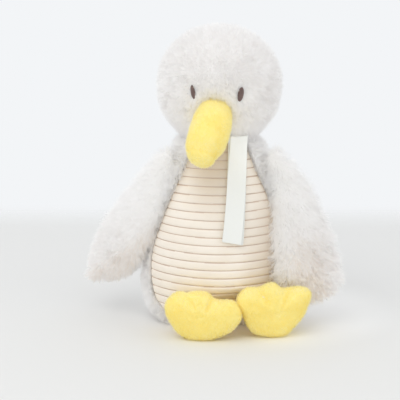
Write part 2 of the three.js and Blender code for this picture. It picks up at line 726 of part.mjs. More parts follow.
function tipped(solid, foot, degrees) {
  const frame = footFrame(foot)
    .multiply(new THREE.Matrix4().makeTranslation(0, 0, ANKLE_Z))
    .multiply(new THREE.Matrix4().makeRotationX(THREE.MathUtils.degToRad(degrees)))
    .multiply(new THREE.Matrix4().makeTranslation(0, 0, -ANKLE_Z));
  return solid.transform(frame.elements);
}

function buildFoot(foot) {
  const pad = (inset) => footSkin(inset, foot).intersect(block({ z0: inset }));
  const skin = pad(0).subtract(pad(FOOT_COVER));
  const add = (part, solid, finish) => addPiece("foot_" + foot.name + part, tipped(solid, foot, 0), finish);
  add("_sole", skin.intersect(block({ y1: -SEAM / 2 })), "yellow");
  add("_upper", skin.intersect(block({ y0: SEAM / 2 })), "yellow");
  add("_stuffing", pad(FOOT_COVER + FILL_GAP), "stuffing");

  const swept = ANKLE_SWING.map((degrees) => tipped(footSkin(-JOINT_GAP, foot), foot, degrees)).reduce(
    (all, solid) => all.add(solid),
  );
  const mouth = rod(LEG_RADIUS - LEG_COVER, foot.x, foot.y - LEG_MOUTH, foot.y + LEG_MOUTH, ANKLE_Z);
  const shell = legRod(foot, 0).subtract(legRod(foot, LEG_COVER).add(mouth));
  addPiece("leg_" + foot.name + "_cover", shell.subtract(swept), "yellow");
  addPiece("leg_" + foot.name + "_stuffing", legRod(foot, LEG_COVER + FILL_GAP).subtract(swept), "stuffing");
}

// Ribbon
function buildRibbon() {
  const drape = RIBBON_DRAPE.map(({ x, y, z }) => new THREE.Vector3(x, y, z));
  const line = new THREE.CatmullRomCurve3(drape, false, "centripetal");
  const turnAt = (z) => smoothAt([...RIBBON_DRAPE].reverse(), "z", z, "turn");
  const spots = [];
  const apart = (RIBBON_PLY + RIBBON_PLY_GAP) / 2;
  const spot = (t, offset, down) => {
    const centre = line.getPoint(t);
    const ahead = line.getTangent(t);
    const angle = THREE.MathUtils.degToRad(turnAt(centre.z));
    const across = new THREE.Vector3(Math.cos(angle), Math.sin(angle), 0);
    const out = new THREE.Vector3().crossVectors(across, ahead).normalize();
    return { centre: centre.addScaledVector(out, offset).addScaledVector(ahead, down), across, out, ahead };
  };
  for (let k = 0; k <= RIBBON_STEPS; k++) spots.push({ ...spot(k / RIBBON_STEPS, apart, 0), roll: 0 });
  for (let k = 1; k < RIBBON_FOLD_STEPS; k++) {
    const roll = (k / RIBBON_FOLD_STEPS) * Math.PI;
    spots.push({ ...spot(1, apart * Math.cos(roll), apart * Math.sin(roll)), roll });
  }
  for (let k = RIBBON_STEPS; k >= 0; k--) {
    spots.push({ ...spot(k / RIBBON_STEPS, -apart, 0), roll: Math.PI });
  }
  const rings = spots.map(({ centre, across, out, ahead, roll }) => {
    const normal = out.clone().multiplyScalar(Math.cos(roll)).addScaledVector(ahead, Math.sin(roll));
    return [
      [-1, -1],
      [-1, 1],
      [1, 1],
      [1, -1],
    ].map(([u, v]) =>
      centre
        .clone()
        .addScaledVector(across, (u * RIBBON_WIDTH) / 2)
        .addScaledVector(normal, (v * RIBBON_PLY) / 2),
    );
  });
  addPiece("ribbon_loop", solidOf(skinOfRings(rings)), "ribbon");
}

buildBody();
buildNeck();
buildHead();
buildBeak();
WINGS.forEach(buildWing);
FEET.forEach(buildFoot);
buildRibbon();

export default bird;
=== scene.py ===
"""The looks of a sitting plush sea bird: fluffy pile, ribbed belly, velvety beak and feet, satin ribbon."""

import math

import bpy
import numpy as np
from mathutils import Matrix, Vector


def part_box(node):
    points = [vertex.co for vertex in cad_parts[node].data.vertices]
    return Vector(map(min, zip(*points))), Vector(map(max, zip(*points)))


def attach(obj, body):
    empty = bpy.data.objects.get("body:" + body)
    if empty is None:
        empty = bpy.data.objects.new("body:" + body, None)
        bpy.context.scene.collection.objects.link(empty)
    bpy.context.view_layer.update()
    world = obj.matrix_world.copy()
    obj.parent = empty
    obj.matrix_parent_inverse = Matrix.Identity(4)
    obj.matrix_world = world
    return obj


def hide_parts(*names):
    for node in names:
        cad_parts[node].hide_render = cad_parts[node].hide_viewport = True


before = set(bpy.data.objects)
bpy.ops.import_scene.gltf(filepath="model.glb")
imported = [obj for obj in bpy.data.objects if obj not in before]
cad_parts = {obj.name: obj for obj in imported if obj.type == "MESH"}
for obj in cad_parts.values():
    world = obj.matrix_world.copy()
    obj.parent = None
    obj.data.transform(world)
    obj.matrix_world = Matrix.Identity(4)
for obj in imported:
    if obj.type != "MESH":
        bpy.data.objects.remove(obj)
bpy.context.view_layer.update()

MM = 0.001

# ---- Forms, in millimetres. They are the model source's, except that the beak's root and first bend,
# the right wing's tip, the left foot's lower outer side, the belly's top and the cords' depth differ a little
BODY_LEVELS = [
    (0, 41, 36, 36),
    (3, 47.5, 41, 40.5),
    (10, 54, 46, 44.5),
    (22, 57.5, 50, 48),
    (38, 58, 51.5, 48.5),
    (56, 56, 51, 47.5),
    (76, 52.5, 48.5, 45),
    (96, 49, 44.5, 41.5),
    (116, 44, 38.5, 36.5),
    (132, 36.8, 32.5, 31.5),
    (147, 27, 26.5, 26.5),
]
BELLY_HALF_WIDTHS = [
    (6, 38),
    (12, 42),
    (22, 50),
    (42, 53.5),
    (62, 51.5),
    (84, 44.5),
    (104, 37),
    (124, 28),
    (143, 20),
    (147, 18.5),
]
BASE_SEAM_Z = 6
NECK_SEAM_Z = 147
RIB_PITCH = 6.3
RIB_DEPTH = 1.25

HEAD_TURN = -4.4
HEAD_LEVELS = [
    (147.6, 28.2, 27.6, 27.8),
    (153, 31, 30, 30.5),
    (161, 36.5, 34.8, 35.5),
    (171, 41.4, 39, 39.8),
    (180, 43.8, 41.2, 41.9),
    (190, 44.3, 41.6, 42.3),
    (198, 43, 40.5, 41.2),
    (205, 40.5, 38.2, 39),
    (212, 36.2, 34.2, 35),
    (219, 29.6, 28, 28.7),
    (225.5, 19.5, 18.4, 19),
    (229, 9.5, 9, 9.2),
    (230, 1, 1, 1),
]
GUSSET_HALF_WIDTH = 13
EYES = [
    {"name": "left", "x": 18.4, "z": 184.7, "width": 4.4, "height": 10.8, "lean": 9},
    {"name": "right", "x": -17.6, "z": 186.2, "width": 3.6, "height": 10.4, "lean": -10},
]

BEAK_LINE = [(-4.6, -37, 169), (-6.5, -50.5, 162.6), (-10.4, -62.5, 152), (-13.8, -68.5, 143)]
BEAK_RADII = [(0, 14.2), (1, 15.5), (2, 15), (3, 10.5)]
BEAK_ROOT_RADIUS = 14.2
BEAK_INSET = 1.9

WING_ROOT_Z = 128
WING_OUTLINES = {
    "right": [
        (0, 8.4, 4.4, 0.2),
        (10, 12, 5.6, -0.8),
        (24, 16, 7.4, -0.6),
        (42, 19.3, 8.6, 0.2),
        (60, 21.7, 9, 0.9),
        (78, 22.2, 8.6, 3),
        (93, 19.6, 7.4, 5.4),
        (103, 15, 5.8, 8),
        (110, 9.8, 4.2, 11.4),
        (116.5, 4.4, 2.5, 14.4),
    ],
    "left": [
        (0, 8.8, 4.4, 1.2),
        (10, 12, 5.6, 4.2),
        (24, 15.9, 7.4, 5.2),
        (42, 19.4, 8.6, 3.6),
        (60, 23, 9, 1.8),
        (78, 25, 8.6, 0.6),
        (93, 24, 7.4, 1),
        (103, 19, 5.6, 2.8),
        (108, 10, 3.4, 5),
    ],
}
WING_TIP_REACH = 2
WINGS = [
    {"name": "right", "side": -1, "x": 42, "y": -15.5, "spread": 26, "lean": -9, "twist": 41},
    {"name": "left", "side": 1, "x": 43.2, "y": -19, "spread": 17.5, "lean": 8, "twist": 16},
]

FOOT_HALF_THICKNESS = 9.5
FOOT_PLUMPNESS = 0.62
FOOT_HEEL_RADIUS = 19.6
FOOT_OUTLINES = {
    "right": [
        (-90, 19.6),
        (-43, 23.4),
        (-17, 25.6),
        (14, 29.4),
        (38, 26.8),
        (58, 19.8),
        (96, 17.4),
        (134, 15.8),
        (158, 26.4),
        (179, 29.2),
        (203, 25),
        (237, 20.2),
        (270, 19.6),
    ],
    "left": [
        (-90, 19.6),
        (-52, 19.2),
        (-20, 22),
        (0, 25.4),
        (20, 30.6),
        (42, 24),
        (65, 18.6),
        (88, 23),
        (114, 23.4),
        (132, 30.4),
        (151, 32),
        (173, 26),
        (205, 23.4),
        (236, 20),
        (270, 19.6),
    ],
}
FOOT_SINK = 0.5
FEET = [
    {"name": "right", "x": -13, "y": -63.5, "turn": -7, "mirror": -1, "roll": 0},
    {"name": "left", "x": 42.8, "y": -55.5, "turn": 11, "mirror": 1, "roll": 9},
]
ANKLE_Z = 9.5
LEG_RADIUS = 7.5
LEG_INSIDE = 7

RIBBON_WIDTH = 15
RIBBON_DRAPE = [
    (13.6, -27.5, 143.6, 26),
    (13.4, -31.9, 136, 22),
    (13, -37.2, 124, 17),
    (12.4, -43.9, 106, 13),
    (11.6, -48.3, 89, 10),
    (10.6, -51, 74, 8),
]

RIBBON_TOP = [(13.2, -24.6, 148.6), (13.4, -29.4, 150.6), (13.5, -29.6, 145)]


# ---- Numbers and noise
def smooth_at(stations, place):
    """The stations' values at each place along them, on a smooth curve."""
    table = np.array(stations, float)
    keys, values = table[:, 0], table[:, 1:]
    last = len(keys) - 1
    before = np.maximum(np.arange(last + 1) - 1, 0)
    after = np.minimum(np.arange(last + 1) + 1, last)
    slope = (values[after] - values[before]) / (keys[after] - keys[before])[:, None]
    place = np.clip(np.asarray(place, float), keys[0], keys[-1])
    i = np.clip(np.searchsorted(keys, place, side="right") - 1, 0, last - 1)
    step = keys[i + 1] - keys[i]
    t = ((place - keys[i]) / step)[..., None]
    rise = t * t * (3 - 2 * t)
    bend = t * (1 - t) ** 2 * slope[i] - t * t * (1 - t) * slope[i + 1]
    return values[i] * (1 - rise) + values[i + 1] * rise + step[..., None] * bend


def unit(v):
    return v / np.maximum(np.linalg.norm(v, axis=-1, keepdims=True), 1e-9)


def hashed(cells, seed):
    """A number from 0 to 1 for each whole-numbered cell."""
    x = cells.astype(np.int64)
    h = x[..., 0] * 73856093 ^ x[..., 1] * 19349663 ^ x[..., 2] * 83492791 ^ (seed * 2654435761)
    h = (h ^ (h >> 13)) * 1274126177 & 0xFFFFFFFF
    h = (h ^ (h >> 16)) * 2246822519 & 0xFFFFFFFF
    return ((h ^ (h >> 15)) & 0xFFFFFF) / 0xFFFFFF


def noise(points, size, seed):
    """Smooth noise from -1 to 1 with features of the given size."""
    q = np.asarray(points, float) / size + 100.0
    base = np.floor(q)
    t = q - base
    t = t * t * (3 - 2 * t)
    total = np.zeros(q.shape[:-1])
    for corner in range(8):
        offset = np.array([corner & 1, corner >> 1 & 1, corner >> 2 & 1])
        weight = np.prod(np.where(offset == 1, t, 1 - t), axis=-1)
        total += weight * hashed(base + offset, seed)
    return 2 * total - 1


def vector_noise(points, size, seed):
    return np.stack([noise(points, size, seed + k) for k in range(3)], -1)


# ---- Meshes
def make_object(name, points, faces, materials, slots=None, smooth=True):
    """A mesh object from points in millimetres."""
    mesh = bpy.data.meshes.new(name)
    mesh.from_pydata((np.asarray(points, float) * MM).tolist(), [], [list(map(int, f)) for f in faces])
    for material in materials:
        mesh.materials.append(material)
    if slots is not None:
        mesh.polygons.foreach_set("material_index", np.asarray(slots, np.int32))
    mesh.polygons.foreach_set("use_smooth", np.full(len(mesh.polygons), smooth))
    mesh.update()
    piece = bpy.data.objects.new(name, mesh)
    bpy.context.scene.collection.objects.link(piece)
    return piece


def grid_faces(rows, columns, closed):
    """Faces over a grid of points, row by row."""
    r = np.arange(rows - 1)[:, None]
    c = np.arange(columns if closed else columns - 1)[None, :]
    n = (c + 1) % columns
    a, b = r * columns + c, r * columns + n
    return np.stack([a, b, b + columns, a + columns], -1).reshape(-1, 4)


def face_centres(points, faces):
    return points[faces].mean(1)


def point_normals(points, faces):
    corners = points[faces]
    normal = np.cross(corners[:, 2] - corners[:, 0], corners[:, 3] - corners[:, 1])
    total = np.zeros_like(points)
    for k in range(4):
        np.add.at(total, faces[:, k], normal)
    return unit(total)


def used_only(points, faces):
    """The same faces with the unused points left out."""
    keep, flat = np.unique(faces, return_inverse=True)
    return points[keep], flat.reshape(faces.shape)


def finish_piece(piece, body, slot, *nodes):
    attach(piece, body)
    if nodes:
        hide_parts(*nodes)
    return piece


# ---- Materials
def node_material(name):
    material = bpy.data.materials.new(name)
    material.use_nodes = True
    tree = material.node_tree
    return material, tree, tree.nodes["Principled BSDF"]


def with_inputs(node, **values):
    """The node with these inputs set, each named with _ for a space."""
    for name, value in values.items():
        node.inputs[name.replace("_", " ")].default_value = value
    return node


def raise_grain(tree, shader, texture, strength, distance):
    """Raises a texture a little on a cloth."""
    place = tree.nodes.new("ShaderNodeTexCoord")
    tree.links.new(place.outputs["Object"], texture.inputs["Vector"])
    raised = with_inputs(tree.nodes.new("ShaderNodeBump"), Strength=strength, Distance=distance)
    tree.links.new(texture.outputs["Fac"], raised.inputs["Height"])
    tree.links.new(raised.outputs["Normal"], shader.inputs["Normal"])


def fabric(
    name, light, dark, roughness, sheen, mottle=30.0, grain=900.0, bump=0.25, depth=0.0003, sheen_tint=None
):
    """A cloth whose colour drifts between two tones, with a fine raised grain."""
    material, tree, shader = node_material(name)
    with_inputs(shader, Roughness=roughness, Sheen_Weight=sheen, Sheen_Roughness=0.45, Specular_IOR_Level=0.15)
    with_inputs(shader, Sheen_Tint=(*(sheen_tint or light), 1))
    place = tree.nodes.new("ShaderNodeTexCoord")
    drift = with_inputs(tree.nodes.new("ShaderNodeTexNoise"), Scale=mottle, Detail=4)
    tree.links.new(place.outputs["Object"], drift.inputs["Vector"])
    ramp = tree.nodes.new("ShaderNodeValToRGB")
    ramp.color_ramp.elements[0].position = 0.3
    ramp.color_ramp.elements[0].color = (*dark, 1)
    ramp.color_ramp.elements[1].position = 0.7
    ramp.color_ramp.elements[1].color = (*light, 1)
    tree.links.new(drift.outputs["Fac"], ramp.inputs["Fac"])
    tree.links.new(ramp.outputs["Color"], shader.inputs["Base Color"])
    raise_grain(tree, shader, with_inputs(tree.nodes.new("ShaderNodeTexNoise"), Scale=grain, Detail=3), bump, depth)
    return material


def paint_light_and_shade(material, shade, pools):
    """Paints light and shade into a material's colour around points.

    A pool has its point, its weights along the axes, the distances where its painted tone starts and is full, and its
    most.
    """
    tree = material.node_tree
    shader = tree.nodes["Principled BSDF"]
    place = tree.nodes.new("ShaderNodeTexCoord")
    total = tree.nodes.new("ShaderNodeMath")
    total.operation = "MAXIMUM"
    total.inputs[1].default_value = 0
    for k, (point, weights, start, end, most) in enumerate(pools):
        gap = tree.nodes.new("ShaderNodeVectorMath")
        gap.operation = "SUBTRACT"
        gap.inputs[1].default_value = point
        tree.links.new(place.outputs["Object"], gap.inputs[0])
        weighed = tree.nodes.new("ShaderNodeVectorMath")
        weighed.operation = "MULTIPLY"
        weighed.inputs[1].default_value = weights
        tree.links.new(gap.outputs["Vector"], weighed.inputs[0])
        reach = tree.nodes.new("ShaderNodeVectorMath")
        reach.operation = "LENGTH"
        tree.links.new(weighed.outputs["Vector"], reach.inputs[0])
        ease = with_inputs(tree.nodes.new("ShaderNodeMapRange"), From_Min=start, From_Max=end, To_Max=most)
        ease.interpolation_type = "SMOOTHSTEP"
        tree.links.new(reach.outputs["Value"], ease.inputs["Value"])
        tree.links.new(ease.outputs["Result"], total.inputs[k])
    mixed = tree.nodes.new("ShaderNodeMix")
    mixed.data_type = "RGBA"
    mixed.inputs[6].default_value = shader.inputs["Base Color"].default_value
    mixed.inputs[7].default_value = (*shade, 1)
    tree.links.new(total.outputs["Value"], mixed.inputs["Factor"])
    for link in shader.inputs["Base Color"].links:
        tree.links.new(link.from_socket, mixed.inputs[6])
    tree.links.new(mixed.outputs[2], shader.inputs["Base Color"])


def strand(name, colour, roughness=0.85, sheen=0.0):
    """A fibre of one colour."""
    material, _, shader = node_material(name)
    with_inputs(shader, Base_Color=(*colour, 1), Roughness=roughness, Sheen_Weight=sheen, Specular_IOR_Level=0.1)
    return material


def soft_strand(name, colour, through=0.5):
    """A fine fibre that also passes light on from behind."""
    material, tree, shader = node_material(name)
    tree.nodes.remove(shader)
    front = with_inputs(tree.nodes.new("ShaderNodeBsdfDiffuse"), Color=(*colour, 1))
    behind = with_inputs(tree.nodes.new("ShaderNodeBsdfTranslucent"), Color=(*colour, 1))
    mixed = with_inputs(tree.nodes.new("ShaderNodeMixShader"), Fac=through)
    tree.links.new(front.outputs["BSDF"], mixed.inputs[1])
    tree.links.new(behind.outputs["BSDF"], mixed.inputs[2])
    tree.links.new(mixed.outputs["Shader"], tree.nodes["Material Output"].inputs["Surface"])
    return material


PLUSH_SKIN = fabric("plush_backing", (0.94, 0.935, 0.93), (0.90, 0.89, 0.88), 0.95, 0.2)
FIBRES = [
    soft_strand("fibre_white", (0.982, 0.979, 0.976)),
    soft_strand("fibre_cream", (0.974, 0.968, 0.963)),
    soft_strand("fibre_soft", (0.955, 0.943, 0.935)),
    soft_strand("fibre_warm", (0.925, 0.885, 0.845)),
]
YELLOW_FIBRES = [
    soft_strand("velboa_light", (0.998, 0.970, 0.73)),
    soft_strand("velboa_deep", (0.994, 0.945, 0.58)),
]
RIB_CLOTH = fabric("rib_cloth", (0.90, 0.83, 0.74), (0.86, 0.78, 0.68), 0.9, 0.35, 60, 1400, 0.35, 0.0002)
# Painted shade on the belly cloth: darker under the beak and low down at the left wing.
BELLY_PAINTED_SHADE = [
    ((-0.008, 0, 0.15), (2.4, 0, 1), 0.068, 0.02, 0.95),  # painted shade under the beak
    ((0.06, 0, 0.05), (1, 0, 0.45), 0.048, 0.016, 0.95),  # painted shade low down at the left wing
]
paint_light_and_shade(RIB_CLOTH, (0.66, 0.56, 0.45), BELLY_PAINTED_SHADE)
# Painted shade in the grooves between the belly's ribs: the groove faces get a darker cloth.
GROOVE_PAINTED_SHADE_CLOTH = fabric("groove_painted_shade", (0.66, 0.53, 0.44), (0.60, 0.47, 0.38), 0.95, 0.1, 80, 1400)
YELLOW = fabric(
    "yellow_velboa", (0.985, 0.885, 0.39), (0.96, 0.835, 0.31), 0.8, 0.5, 45, 1500, 0.5, 0.0003, (1, 0.95, 0.7)
)
BROWN = strand("brown_thread", (0.085, 0.05, 0.045), 0.5, 0.2)
BROWN_LIGHT = strand("brown_thread_light", (0.27, 0.19, 0.17), 0.5, 0.2)
FILL = fabric("fibre_fill", (0.92, 0.91, 0.88), (0.85, 0.84, 0.81), 1.0, 0.2, 60, 400, 0.5, 0.001)
PELLET_CLOTH = fabric("pellet_bag_cloth", (0.74, 0.69, 0.60), (0.68, 0.63, 0.54), 0.95, 0.1, 90, 1200, 0.4)


def satin():
    material, tree, shader = node_material("satin")
    with_inputs(shader, Base_Color=(0.93, 0.935, 0.905, 1), Roughness=0.38, Specular_IOR_Level=0.45)
    with_inputs(shader, Sheen_Weight=0.25, Sheen_Roughness=0.3)
    weft = with_inputs(tree.nodes.new("ShaderNodeTexWave"), Scale=900, Distortion=0.6)
    weft.wave_type = "BANDS"
    weft.bands_direction = "Z"
    raise_grain(tree, shader, weft, 0.12, 0.0001)
    return material


SATIN = satin()
RIBBON_PAINTED_SHADE = ((0, 0, 1), (0, 0, 1), 0.862, 0.892, 1)  # painted shade, darker lower down: starts 138 mm up, and is full from 108 mm down
paint_light_and_shade(SATIN, (0.84, 0.846, 0.81), [RIBBON_PAINTED_SHADE])


# ---- Pile
STRAND_WIDTHS = ((0, 1), (0.4, 0.95), (0.75, 0.65), (1, 0))  # from a strand's root to its tip
TONE_STEPS = [0.45, 0.85, 1.12]
LOWEST_FIBRE = 0.35
PLUSH_PER_MM2 = 3.0
NAP_LENGTH, LONG_NAP_LENGTH, LONG_NAP_SHARE = 1.3, 2.0, 0.05


def scattered(points, faces, per_mm2, seed):
    """Random places on a skin, evenly by area, with their normals."""
    rng = np.random.default_rng(seed)
    normals = point_normals(points, faces)
    tris = np.concatenate([faces[:, [0, 1, 2]], faces[:, [0, 2, 3]]])
    a, b, c = (points[tris[:, k]] for k in range(3))
    area = 0.5 * np.linalg.norm(np.cross(b - a, c - a), axis=1)
    count = int(area.sum() * per_mm2)
    pick = rng.choice(len(tris), count, p=area / area.sum())
    r, s = np.sqrt(rng.random(count))[:, None], rng.random(count)[:, None]
    weights = [1 - r, r * (1 - s), r * s]
    place = sum(w * points[tris[pick, k]] for k, w in enumerate(weights))
    facing = unit(sum(w * normals[tris[pick, k]] for k, w in enumerate(weights)))
    return place, facing


def pile(name, roots, normals, length, comb, seed, clump=4.0, gather=0.35, curl=0.3, width=0.3, tone=0, fibres=FIBRES):
    """Strands on roots: each leans with its comb, drifts with its neighbours and gathers into a tuft."""
    rng = np.random.default_rng(seed)
    count = len(roots)
    gather, curl = (np.asarray(v, float).reshape(-1, 1) for v in (gather, curl))
    loose = rng.normal(size=(count, 3))
    lean = normals + comb + 0.6 * curl * vector_noise(roots, 1.9 * clump, seed + 11)
    lean = unit(lean + curl * vector_noise(roots, 0.8 * clump, seed + 23) + 0.16 * loose)
    below = np.minimum((lean * normals).sum(1) - 0.25, 0)[:, None]
    lean = unit(lean - below * normals)
    length = (length * (1 + 0.16 * rng.normal(size=count)).clip(0.55, 1.5))[:, None]
    warp = roots + 0.35 * clump * vector_noise(roots, 1.7 * clump, seed + 31)
    cell = np.floor(warp / clump)
    centre = (cell + 0.5 + 0.3 * np.stack([hashed(cell, seed + k) - 0.5 for k in range(3)], -1)) * clump
    pull = centre - roots
    pull -= (pull * normals).sum(1, keepdims=True) * normals
    across = unit(np.cross(lean, normals + 0.15 * loose))
    rows = []
    for t, share in STRAND_WIDTHS:
        spine = roots + lean * length * t + normals * length * 0.25 * t * (1 - t) + pull * gather * t * t
        spine[:, 2] = np.maximum(spine[:, 2], LOWEST_FIBRE)
        half = across * width * share / 2
        rows += [spine] if share == 0 else [spine - half, spine + half]
    points = np.stack(rows, 1)
    mesh = bpy.data.meshes.new(name)
    mesh.vertices.add(count * 7)
    mesh.vertices.foreach_set("co", (points * MM).astype(np.float32).ravel())
    pattern = np.array([0, 1, 3, 2, 2, 3, 5, 4, 4, 5, 6])
    loops = (np.arange(count)[:, None] * 7 + pattern).ravel()
    mesh.loops.add(len(loops))
    mesh.loops.foreach_set("vertex_index", loops.astype(np.int32))
    starts = (np.arange(count)[:, None] * 11 + np.array([0, 4, 8])).ravel()
    mesh.polygons.add(count * 3)
    mesh.polygons.foreach_set("loop_start", starts.astype(np.int32))
    mesh.polygons.foreach_set("use_smooth", np.ones(count * 3, bool))
    for fibre in fibres:
        mesh.materials.append(fibre)
    shade = rng.random(count) + tone
    slots = np.digitize(shade, TONE_STEPS[: len(fibres) - 1]).astype(np.int32)
    mesh.polygons.foreach_set("material_index", np.repeat(slots, 3))
    mesh.update(calc_edges=True)
    piece = bpy.data.objects.new(name, mesh)
    bpy.context.scene.collection.objects.link(piece)
    return piece


def velvet(name, points, faces, body, seed, nap, per_mm2=8.0):
    """The short pile of the yellow cloth, brushed one way."""
    quads = np.array([f for f in faces if len(f) == 4])
    roots, normals = scattered(points, quads, per_mm2, seed)
    brushed = along_skin(np.array(nap, float), normals)
    comb = 0.45 * brushed + 0.35 * vector_noise(roots, 9, seed + 3)
    tone = 0.25 * noise(roots, 7, seed + 5)
    long = np.random.default_rng(seed + 2).random(len(roots)) < LONG_NAP_SHARE
    length = np.where(long, LONG_NAP_LENGTH, NAP_LENGTH)
    fur = pile(name, roots, normals, length, comb, seed + 1, 1.6, 0.05, 0.15, 0.16, tone, YELLOW_FIBRES)
    finish_piece(fur, body, "yellow")


DOWN = np.array([0.0, 0.0, -1.0])


def along_skin(direction, normals):
    return direction - (direction * normals).sum(1, keepdims=True) * normals


# ---- Body
def skin_points(levels, angle, z, swell=0.0):
    """The points of the body's or the head's skin, from its table of levels."""
    side, front, back = (smooth_at(levels, z)[..., k] + swell for k in range(3))
    depth = np.where(np.sin(angle) < 0, front, back)
    return np.stack([side * np.cos(angle), depth * np.sin(angle), np.broadcast_to(z, angle.shape) + 0.0], -1)


def belly_edge(z):
    """The angle from the body's side to the edge of the belly panel."""
    half = smooth_at(BELLY_HALF_WIDTHS, z)[..., 0]
    side = smooth_at(BODY_LEVELS, z)[..., 0]
    return np.arccos(np.clip(half / side, 0, 0.985))


def inside_body(points, grow=0.0):
    side, front, back = (smooth_at(BODY_LEVELS, points[:, 2])[:, k] + grow for k in range(3))
    depth = np.where(points[:, 1] < 0, front, back)
    within = (points[:, 0] / side) ** 2 + (points[:, 1] / depth) ** 2 < 1
    return within & (points[:, 2] < NECK_SEAM_Z)


def rib_height(z):
    t = np.abs(2 * ((z / RIB_PITCH) % 1) - 1)
    return RIB_DEPTH * (1 - t**3.4) ** 0.5


BELLY_TURN = 11.5
BELLY_TURN_TOP_Z = 37
BETWEEN_FEET_X = 13


def belly_turn(x, z):
    """How far the belly turns under, at the bottom between the feet."""
    fall = np.clip((BELLY_TURN_TOP_Z - z) / 14, 0, 1) ** 1.6
    return BELLY_TURN * fall * np.exp(-(((x - BETWEEN_FEET_X) / 22) ** 2))


def make_belly():
    rows, columns = 440, 170
    z = np.linspace(BASE_SEAM_Z, NECK_SEAM_Z - 0.5, rows)[:, None] + np.zeros((1, columns))
    u = np.linspace(0, 1, columns)[None, :] + np.zeros((rows, 1))
    edge = belly_edge(z)
    angle = -np.pi + edge + u * (np.pi - 2 * edge)
    flat = skin_points(BODY_LEVELS, angle, z)
    near_edge = np.minimum(u, 1 - u) * 30
    tuck = 1 - np.clip(near_edge, 0, 1)
    wander = 0.5 * noise(flat, 34, 5)
    swell = rib_height(z + wander) * (1 - 0.6 * tuck**2) - 0.3 * tuck**2
    swell = swell + 0.35 * noise(flat, 20, 8) * (1 - tuck)
    swell = swell - belly_turn(flat[..., 0], z)
    points = skin_points(BODY_LEVELS, angle, z, swell).reshape(-1, 3)
    faces = grid_faces(rows, columns, False)
    middle = face_centres(flat.reshape(-1, 3), faces)
    # The faces in the grooves get the darker cloth, painted shade.
    t = ((middle[:, 2] + 0.5 * noise(middle, 34, 5)) / RIB_PITCH) % 1
    groove = (np.minimum(t, 1 - t) < 0.055).astype(int)
    piece = make_object("belly_panel_cloth", points, faces, [RIB_CLOTH, GROOVE_PAINTED_SHADE_CLOTH], groove)
    finish_piece(piece, "body", "ribbed", "belly_panel")


def seam_fringe(side):
    """Pile along the edge of the belly, laid over the seam."""
    rng = np.random.default_rng(70 + side)
    z = rng.uniform(9, NECK_SEAM_Z - 1, 5200)
    wide, front = smooth_at(BODY_LEVELS, z)[:, :2].T
    angle = -belly_edge(z) + rng.uniform(-0.5, 3, len(z)) / wide
    roots = skin_points(BODY_LEVELS, angle, z, -0.2)
    normals = unit(np.stack([np.cos(angle) / wide, np.sin(angle) / front, 0.1 / wide], -1))
    inward = unit(np.stack([np.sin(angle) * wide, -np.cos(angle) * front, 0 * z], -1))
    for rows in (roots, normals, inward):
        rows[:, 0] *= side
    comb = 0.6 * inward + 0.3 * DOWN
    return roots, normals, comb, 4.2 + 0 * z, -0.1 + 0 * z


SHOULDER_BULGE = {"left": 4.2, "right": 5.5}
SHOULDER_BULGE_Z = 129
BODY_PILE_LENGTH = 6.2


def make_body_plush():
    rows, columns = 130, 100
    for side, name in ((1, "left"), (-1, "right")):
        z = np.linspace(BASE_SEAM_Z, NECK_SEAM_Z, rows)[:, None] + np.zeros((1, columns))
        u = np.linspace(0, 1, columns)[None, :] + np.zeros((rows, 1))
        edge = belly_edge(z)
        angle = -edge + u * (np.pi / 2 + edge)
        wing = WINGS[1 if side > 0 else 0]
        flat = skin_points(BODY_LEVELS, angle, z)
        beside = np.hypot(flat[..., 0] - wing["x"] + 8.5, flat[..., 1] - wing["y"] + 9) / 11
        inside_seam = np.clip(u * (np.pi / 2 + edge) * 45 / 9, 0, 1)
        full = np.exp(-(beside**2) - ((z - SHOULDER_BULGE_Z) / 17) ** 2) * inside_seam
        points = skin_points(BODY_LEVELS, angle, z, SHOULDER_BULGE[name] * full)
        points = (points + 0.5 * vector_noise(points, 16, 3)).reshape(-1, 3)
        points[:, 0] *= side
        points[:, 0] = np.where(u.ravel() == 1, 0, points[:, 0])
        faces = grid_faces(rows, columns, False)
        if side < 0:
            faces = faces[:, ::-1]
        piece = make_object(f"body_plush_{name}", points, faces, [PLUSH_SKIN])
        finish_piece(piece, "body", "plush", f"body_panel_{name}")
        roots, normals = scattered(points, faces, PLUSH_PER_MM2, 40 + side)
        comb = 0.45 * along_skin(DOWN, normals)
        wide, front = smooth_at(BODY_LEVELS, roots[:, 2])[:, :2].T
        around = np.arctan2(roots[:, 1] / front, np.abs(roots[:, 0]) / wide)
        near = np.clip(1 - (around + belly_edge(roots[:, 2])) * wide / 7, 0, 1) * (roots[:, 1] < 0)
        inward = unit(np.stack([side * wide * np.sin(around), -front * np.cos(around), 0 * around], -1))
        comb = comb + 0.5 * near[:, None] * inward
        strip = np.clip((roots[:, 2] - 60) / 20, 0, 1) * np.clip(-roots[:, 1] / 8 - 1.5, 0, 1)
        shoulder = np.array([side * wing["x"], wing["y"], WING_ROOT_Z])
        close = np.clip(1.5 - np.linalg.norm(roots - shoulder, axis=1) / 14, 0, 1)
        low = np.clip(1 - roots[:, 2] / 45, 0, 1)
        length = (BODY_PILE_LENGTH + 0.6 * noise(roots, 9, 9)) * (1 + 0.35 * strip + 0.25 * close)
        parting = np.clip(1 - np.abs(roots[:, 0]) / 5, 0, 1) * (roots[:, 1] > 0)
        comb = comb + 0.45 * parting[:, None] * along_skin(np.array([side, 0, 0]), normals)
        length = length * (1 - 0.25 * parting)
        # Painted shade: the fibres turn a little darker towards the bottom.
        tone = 0.15 * low - 0.3
        fringe = seam_fringe(side)
        roots, normals, comb, length, tone = (
            np.concatenate(pair) for pair in zip((roots, normals, comb, length, tone), fringe)
        )
        fur = pile(f"body_pile_{name}", roots, normals, length, comb, 50 + side, 3.6, 0.2, 0.25, tone=tone)
        finish_piece(fur, "body", "plush")


